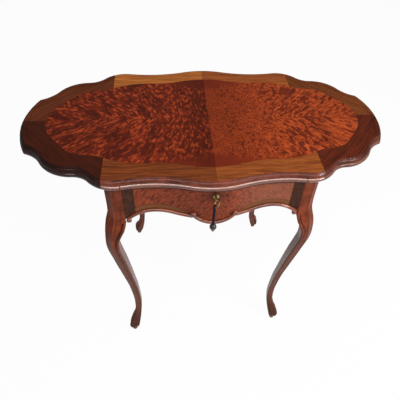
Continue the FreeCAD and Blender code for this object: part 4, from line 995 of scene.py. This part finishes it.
def scallopLine():
    # x and z of the bead's middle line, from the middle lobe to the end, in millimetres
    start, middle, end = [(-bead[name][0], bead[name][1]) for name in ("arch", "rising", "volute")]
    inward = tangentArcs(start, [middle, end])
    outward = tangentArcs(bead["arch"], [bead["drop"]])
    sag = bead["volute"][1] - bead["lobe"]
    radius = (bead["volute"][0] ** 2 + sag**2) / (2 * sag)
    half = bead["wide"] / 2
    turn = np.linspace(-math.pi / 2, -math.pi / 2 + math.asin(bead["volute"][0] / radius), 30)
    lobe = onCircle((0, bead["lobe"] + radius), radius - half, turn)
    rising = [onCircle(centre, size + half, np.linspace(first, last, 24))
              for centre, size, first, last in inward]
    rising = np.concatenate([rising[0], rising[1][1:]])[::-1] * [-1, 1]
    centre, size, first, last = outward[0]
    falling = onCircle(centre, size + half, np.linspace(first, last, 40)[1:])
    return lobe, np.concatenate([rising, falling])


def frontFace(x, reach):
    # y of the drawer's serpentine face at x, in the table's own frame
    line = rimLine(reach, 0, 253)
    return -np.interp(np.abs(x), line[:, 0], line[:, 1])


def onFace(flat, proud):
    x, z = flat.T
    return np.column_stack([x, frontFace(x, bead["faceReach"]) - proud, z])


def drawerBead():
    lobe, arch = scallopLine()
    arch = arch[arch[:, 0] < bead["endsAt"]]
    whole = np.concatenate([lobe[::-1] * [-1, 1], lobe[1:]])
    parts = [tube(onFace(whole + [0, bead["lift"]], bead["standsOut"]), bead["round"], 20)]
    (curlX, curlHigh), (dropX, dropHigh) = bead["curl"], bead["dropCurl"]
    for sign in (1, -1):
        # the arch's bead ends in a curl over the end of the lobe's bead
        begin = 0.0 if sign > 0 else math.pi
        curl = spiral((sign * curlX, curlHigh), 0.8, 5.2, 1.15, begin, sense=-sign)
        line = np.concatenate([curl, (arch * [sign, 1] + [0, bead["lift"]])[4:]])
        spots, stations = np.arange(len(line)), [0, 30, 60, len(line)]
        thick = np.interp(spots, stations, [4.6, 4.6, bead["round"], bead["round"]])
        proud = np.interp(spots, stations, [2.8, 2.6, bead["standsOut"], bead["standsOut"]])
        parts.append(tube(onFace(line, proud), thick, 20))
        drop = spiral((sign * dropX, dropHigh), 0.8, 3.6, 1.2, 0.0, sense=sign)
        parts.append(tube(onFace(drop, 0.9), np.linspace(4.4, 3.4, len(drop)), 12))
    # the band's own square edge behind the half-round
    full = np.concatenate([arch[::-1] * [-1, 1], whole[3:-3], arch])
    steps = np.gradient(full, axis=0)
    steps /= np.linalg.norm(steps, axis=1)[:, None]
    across = np.column_stack([-steps[:, 1], steps[:, 0]]) * (bead["wide"] / 2 - 0.1)
    corners = []
    for side, reach in ((-1, 0.4), (-1, -5.0), (1, -5.0), (1, 0.4)):
        corners.append(onFace(full + across * side, reach))
    parts.append(skin(np.stack(corners, 1)))
    # a dark tube along the bead's upper edge, as painted shade in the crease between bead and face
    shade = tube(onFace(full + across * 1.66, 0.2), 0.7, 8)
    return gathered(parts + [shade]), len(shade[1])


beadPart, shaded = drawerBead()
cut = np.zeros(len(beadPart[1]), int)
cut[-shaded:] = 1
beadPiece = meshPiece("drawer_carved_bead", placed(beadPart), (beadMaterial, grooveShadeMaterial),
                      "drawer", cut)
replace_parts(beadPiece, "drawer_cock_bead")
print("drawer bead")

# key with its ring bow, a little turned, and the tassel on it
key = {
    "high": 686, "turned": 35, "bow": 9.5, "wire": 1.5, "middle": -251.0, "shaft": 2.5,
    "shaftEnd": -192,
    "loop": 2.95, "loopWire": 1.1, "knobTop": 611.5, "knobLow": 583, "ball": 8.5,
}


def keyPart():
    turn = np.linspace(0, 2 * math.pi, 65)
    ring = np.insert(onCircle((key["middle"], key["high"]), key["bow"], turn), 0, 0, axis=1)
    start, thick, end = key["middle"] + key["bow"], key["shaft"], key["shaftEnd"]
    shaft = [(0.1, start - 0.6), (2.2, start - 0.4), (3.4, start + 0.4), (3.7, start + 1.2),
             (3.7, start + 2.2), (3.0, start + 2.9), (2.6, start + 3.4), (thick, start + 5),
             (thick, end), (1.5, end + 0.4), (1.5, end + 1.6), (0.1, end + 1.7)]
    bit = []
    for y in (-196.4, -191.5):
        bit.append([(-1, y, 678.6), (1, y, 678.6), (1, y, 685), (-1, y, 685)])
    bow, stem = tube(ring, key["wire"], 20), lathe(shaft, (0, 0, key["high"]), "y", 32)
    return gathered([bow, stem, skin(np.array(bit, float))])


points, faces, uvs = keyPart()
lean = math.radians(key["turned"])
x, z = points[:, 0].copy(), points[:, 2] - key["high"]
points[:, 0] = x * math.cos(lean) + z * math.sin(lean)
points[:, 2] = key["high"] - x * math.sin(lean) + z * math.cos(lean)
keyShape = placed((points, faces, uvs))
keyPiece = meshPiece("turned_key", keyShape, (brass,), "key")
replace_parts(keyPiece, "key")

hangX = -key["bow"] * math.sin(lean)
hangZ = key["high"] - key["bow"] * math.cos(lean)
turn = np.linspace(0, 2 * math.pi, 49)
loopPath = np.insert(onCircle((hangX, hangZ), key["loop"], turn), 1, key["middle"], axis=1)
loopShape = placed(tube(loopPath, key["loopWire"], 12))
loopPiece = meshPiece("tassel_loop_cord", loopShape, (cordCloth,), "tassel")
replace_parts(loopPiece, "tassel_loop")

top, tip, ball = key["knobTop"], key["knobLow"], key["ball"]
heart = top - 1.15 * ball
knobProfile = [(0.1, top), (3.6, top), (4.2, top - 0.6), (4.25, top - 1.6), (3.7, top - 2.2),
               (4.4, top - 2.8)]
knobProfile += [(ball * math.cos(angle), heart + ball * math.sin(angle))
                for angle in np.radians(np.linspace(56, -52, 22))]
knobProfile += [(4.4, heart - ball * 0.86), (4.9, heart - ball * 0.94), (4.9, heart - ball * 1.06),
                (4.0, heart - ball * 1.16), (3.6, tip + 5.5), (2.6, tip + 3), (1.2, tip + 0.8),
                (0.1, tip)]
knobShape = placed(lathe(knobProfile, (hangX, key["middle"], 0)))
knobPiece = meshPiece("turned_tassel_knob", knobShape, (knobWood,), "tassel")
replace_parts(knobPiece, "tassel_knob")

cordCurve.materials.append(cordCloth)
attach(cordPiece, "tassel")
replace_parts(cordPiece, "tassel_cord")
print("key and tassel")

# floor, light and white surround
studio = {
    "world": 0.12, "floor": colour(252, 252, 252), "floorGlow": 0.96, "mirrored": 0.15,
    "floorHalf": 8,
    # each lamp's place, aim, power in watts, width and height
    "overhead": ((0.2, -0.5, 2.8), (0, 0, 0.7), 6, 1.6, 1.6),
    "skylight": ((0.1, -1.25, 2.6), (0, -0.2, 0.7), 31, 3.0, 0.4),
    "window": ((1.5, -1.2, 1.6), (0, 0, 0.6), 25, 0.6, 0.6),
}


def backdropShare(tree, share):
    # how much of the white backdrop a ray sees: all of it through the camera and through
    # glass, a part of it in a reflection, so that the polish isn't greyed by it
    paths = tree.nodes.new("ShaderNodeLightPath").outputs
    direct = wired(tree, "ShaderNodeMath", paths["Is Camera Ray"], paths["Is Transmission Ray"],
                   operation="MAXIMUM")
    mirrored = wired(tree, "ShaderNodeMath", paths["Is Glossy Ray"], studio["mirrored"], direct,
                     operation="MULTIPLY_ADD", use_clamp=True)
    return wired(tree, "ShaderNodeMath", mirrored, share, operation="MULTIPLY")


white = (1, 1, 1, 1)
world = bpy.data.worlds.new("studio")
scene.world = world
world.use_nodes = True
tree = world.node_tree
tree.nodes.clear()
soft = wired(tree, "ShaderNodeBackground", white, studio["world"])
plain = wired(tree, "ShaderNodeBackground", white, 1.0)
mixed = wired(tree, "ShaderNodeMixShader", backdropShare(tree, 1.0), soft, plain)
wired(tree, "ShaderNodeOutputWorld", mixed)


def lamp(name, place, aim, power, wide, tall):
    data = bpy.data.lights.new(name, "AREA")
    data.shape = "RECTANGLE"
    data.size, data.size_y = wide, tall
    data.energy = power
    piece = bpy.data.objects.new(name, data)
    scene.collection.objects.link(piece)
    piece.location = place
    piece.rotation_euler = (Vector(aim) - Vector(place)).to_track_quat("-Z", "Y").to_euler()


for name in ("overhead", "skylight", "window"):
    lamp(name, *studio[name])

floorMesh = bpy.data.meshes.new("floor")
half = studio["floorHalf"]
floorEdge = [(-half, -half, 0), (half, -half, 0), (half, half, 0), (-half, half, 0)]
floorMesh.from_pydata(floorEdge, [], [(0, 1, 2, 3)])
floor = bpy.data.objects.new("floor", floorMesh)
scene.collection.objects.link(floor)
floorPaint = Paint("pale_floor")
tree, shader = floorPaint.tree, floorPaint.shader
for name, value in (("Base Color", studio["floor"]), ("Roughness", 0.9),
                    ("Specular IOR Level", 0.1)):
    shader.inputs[name].default_value = value
glow = wired(tree, "ShaderNodeEmission", white, 1.0)
mixed = wired(tree, "ShaderNodeMixShader", backdropShare(tree, studio["floorGlow"]), shader, glow)
tree.links.new(mixed.outputs[0], tree.nodes["Material Output"].inputs[0])
floorMesh.materials.append(floorPaint.material)
print("studio")
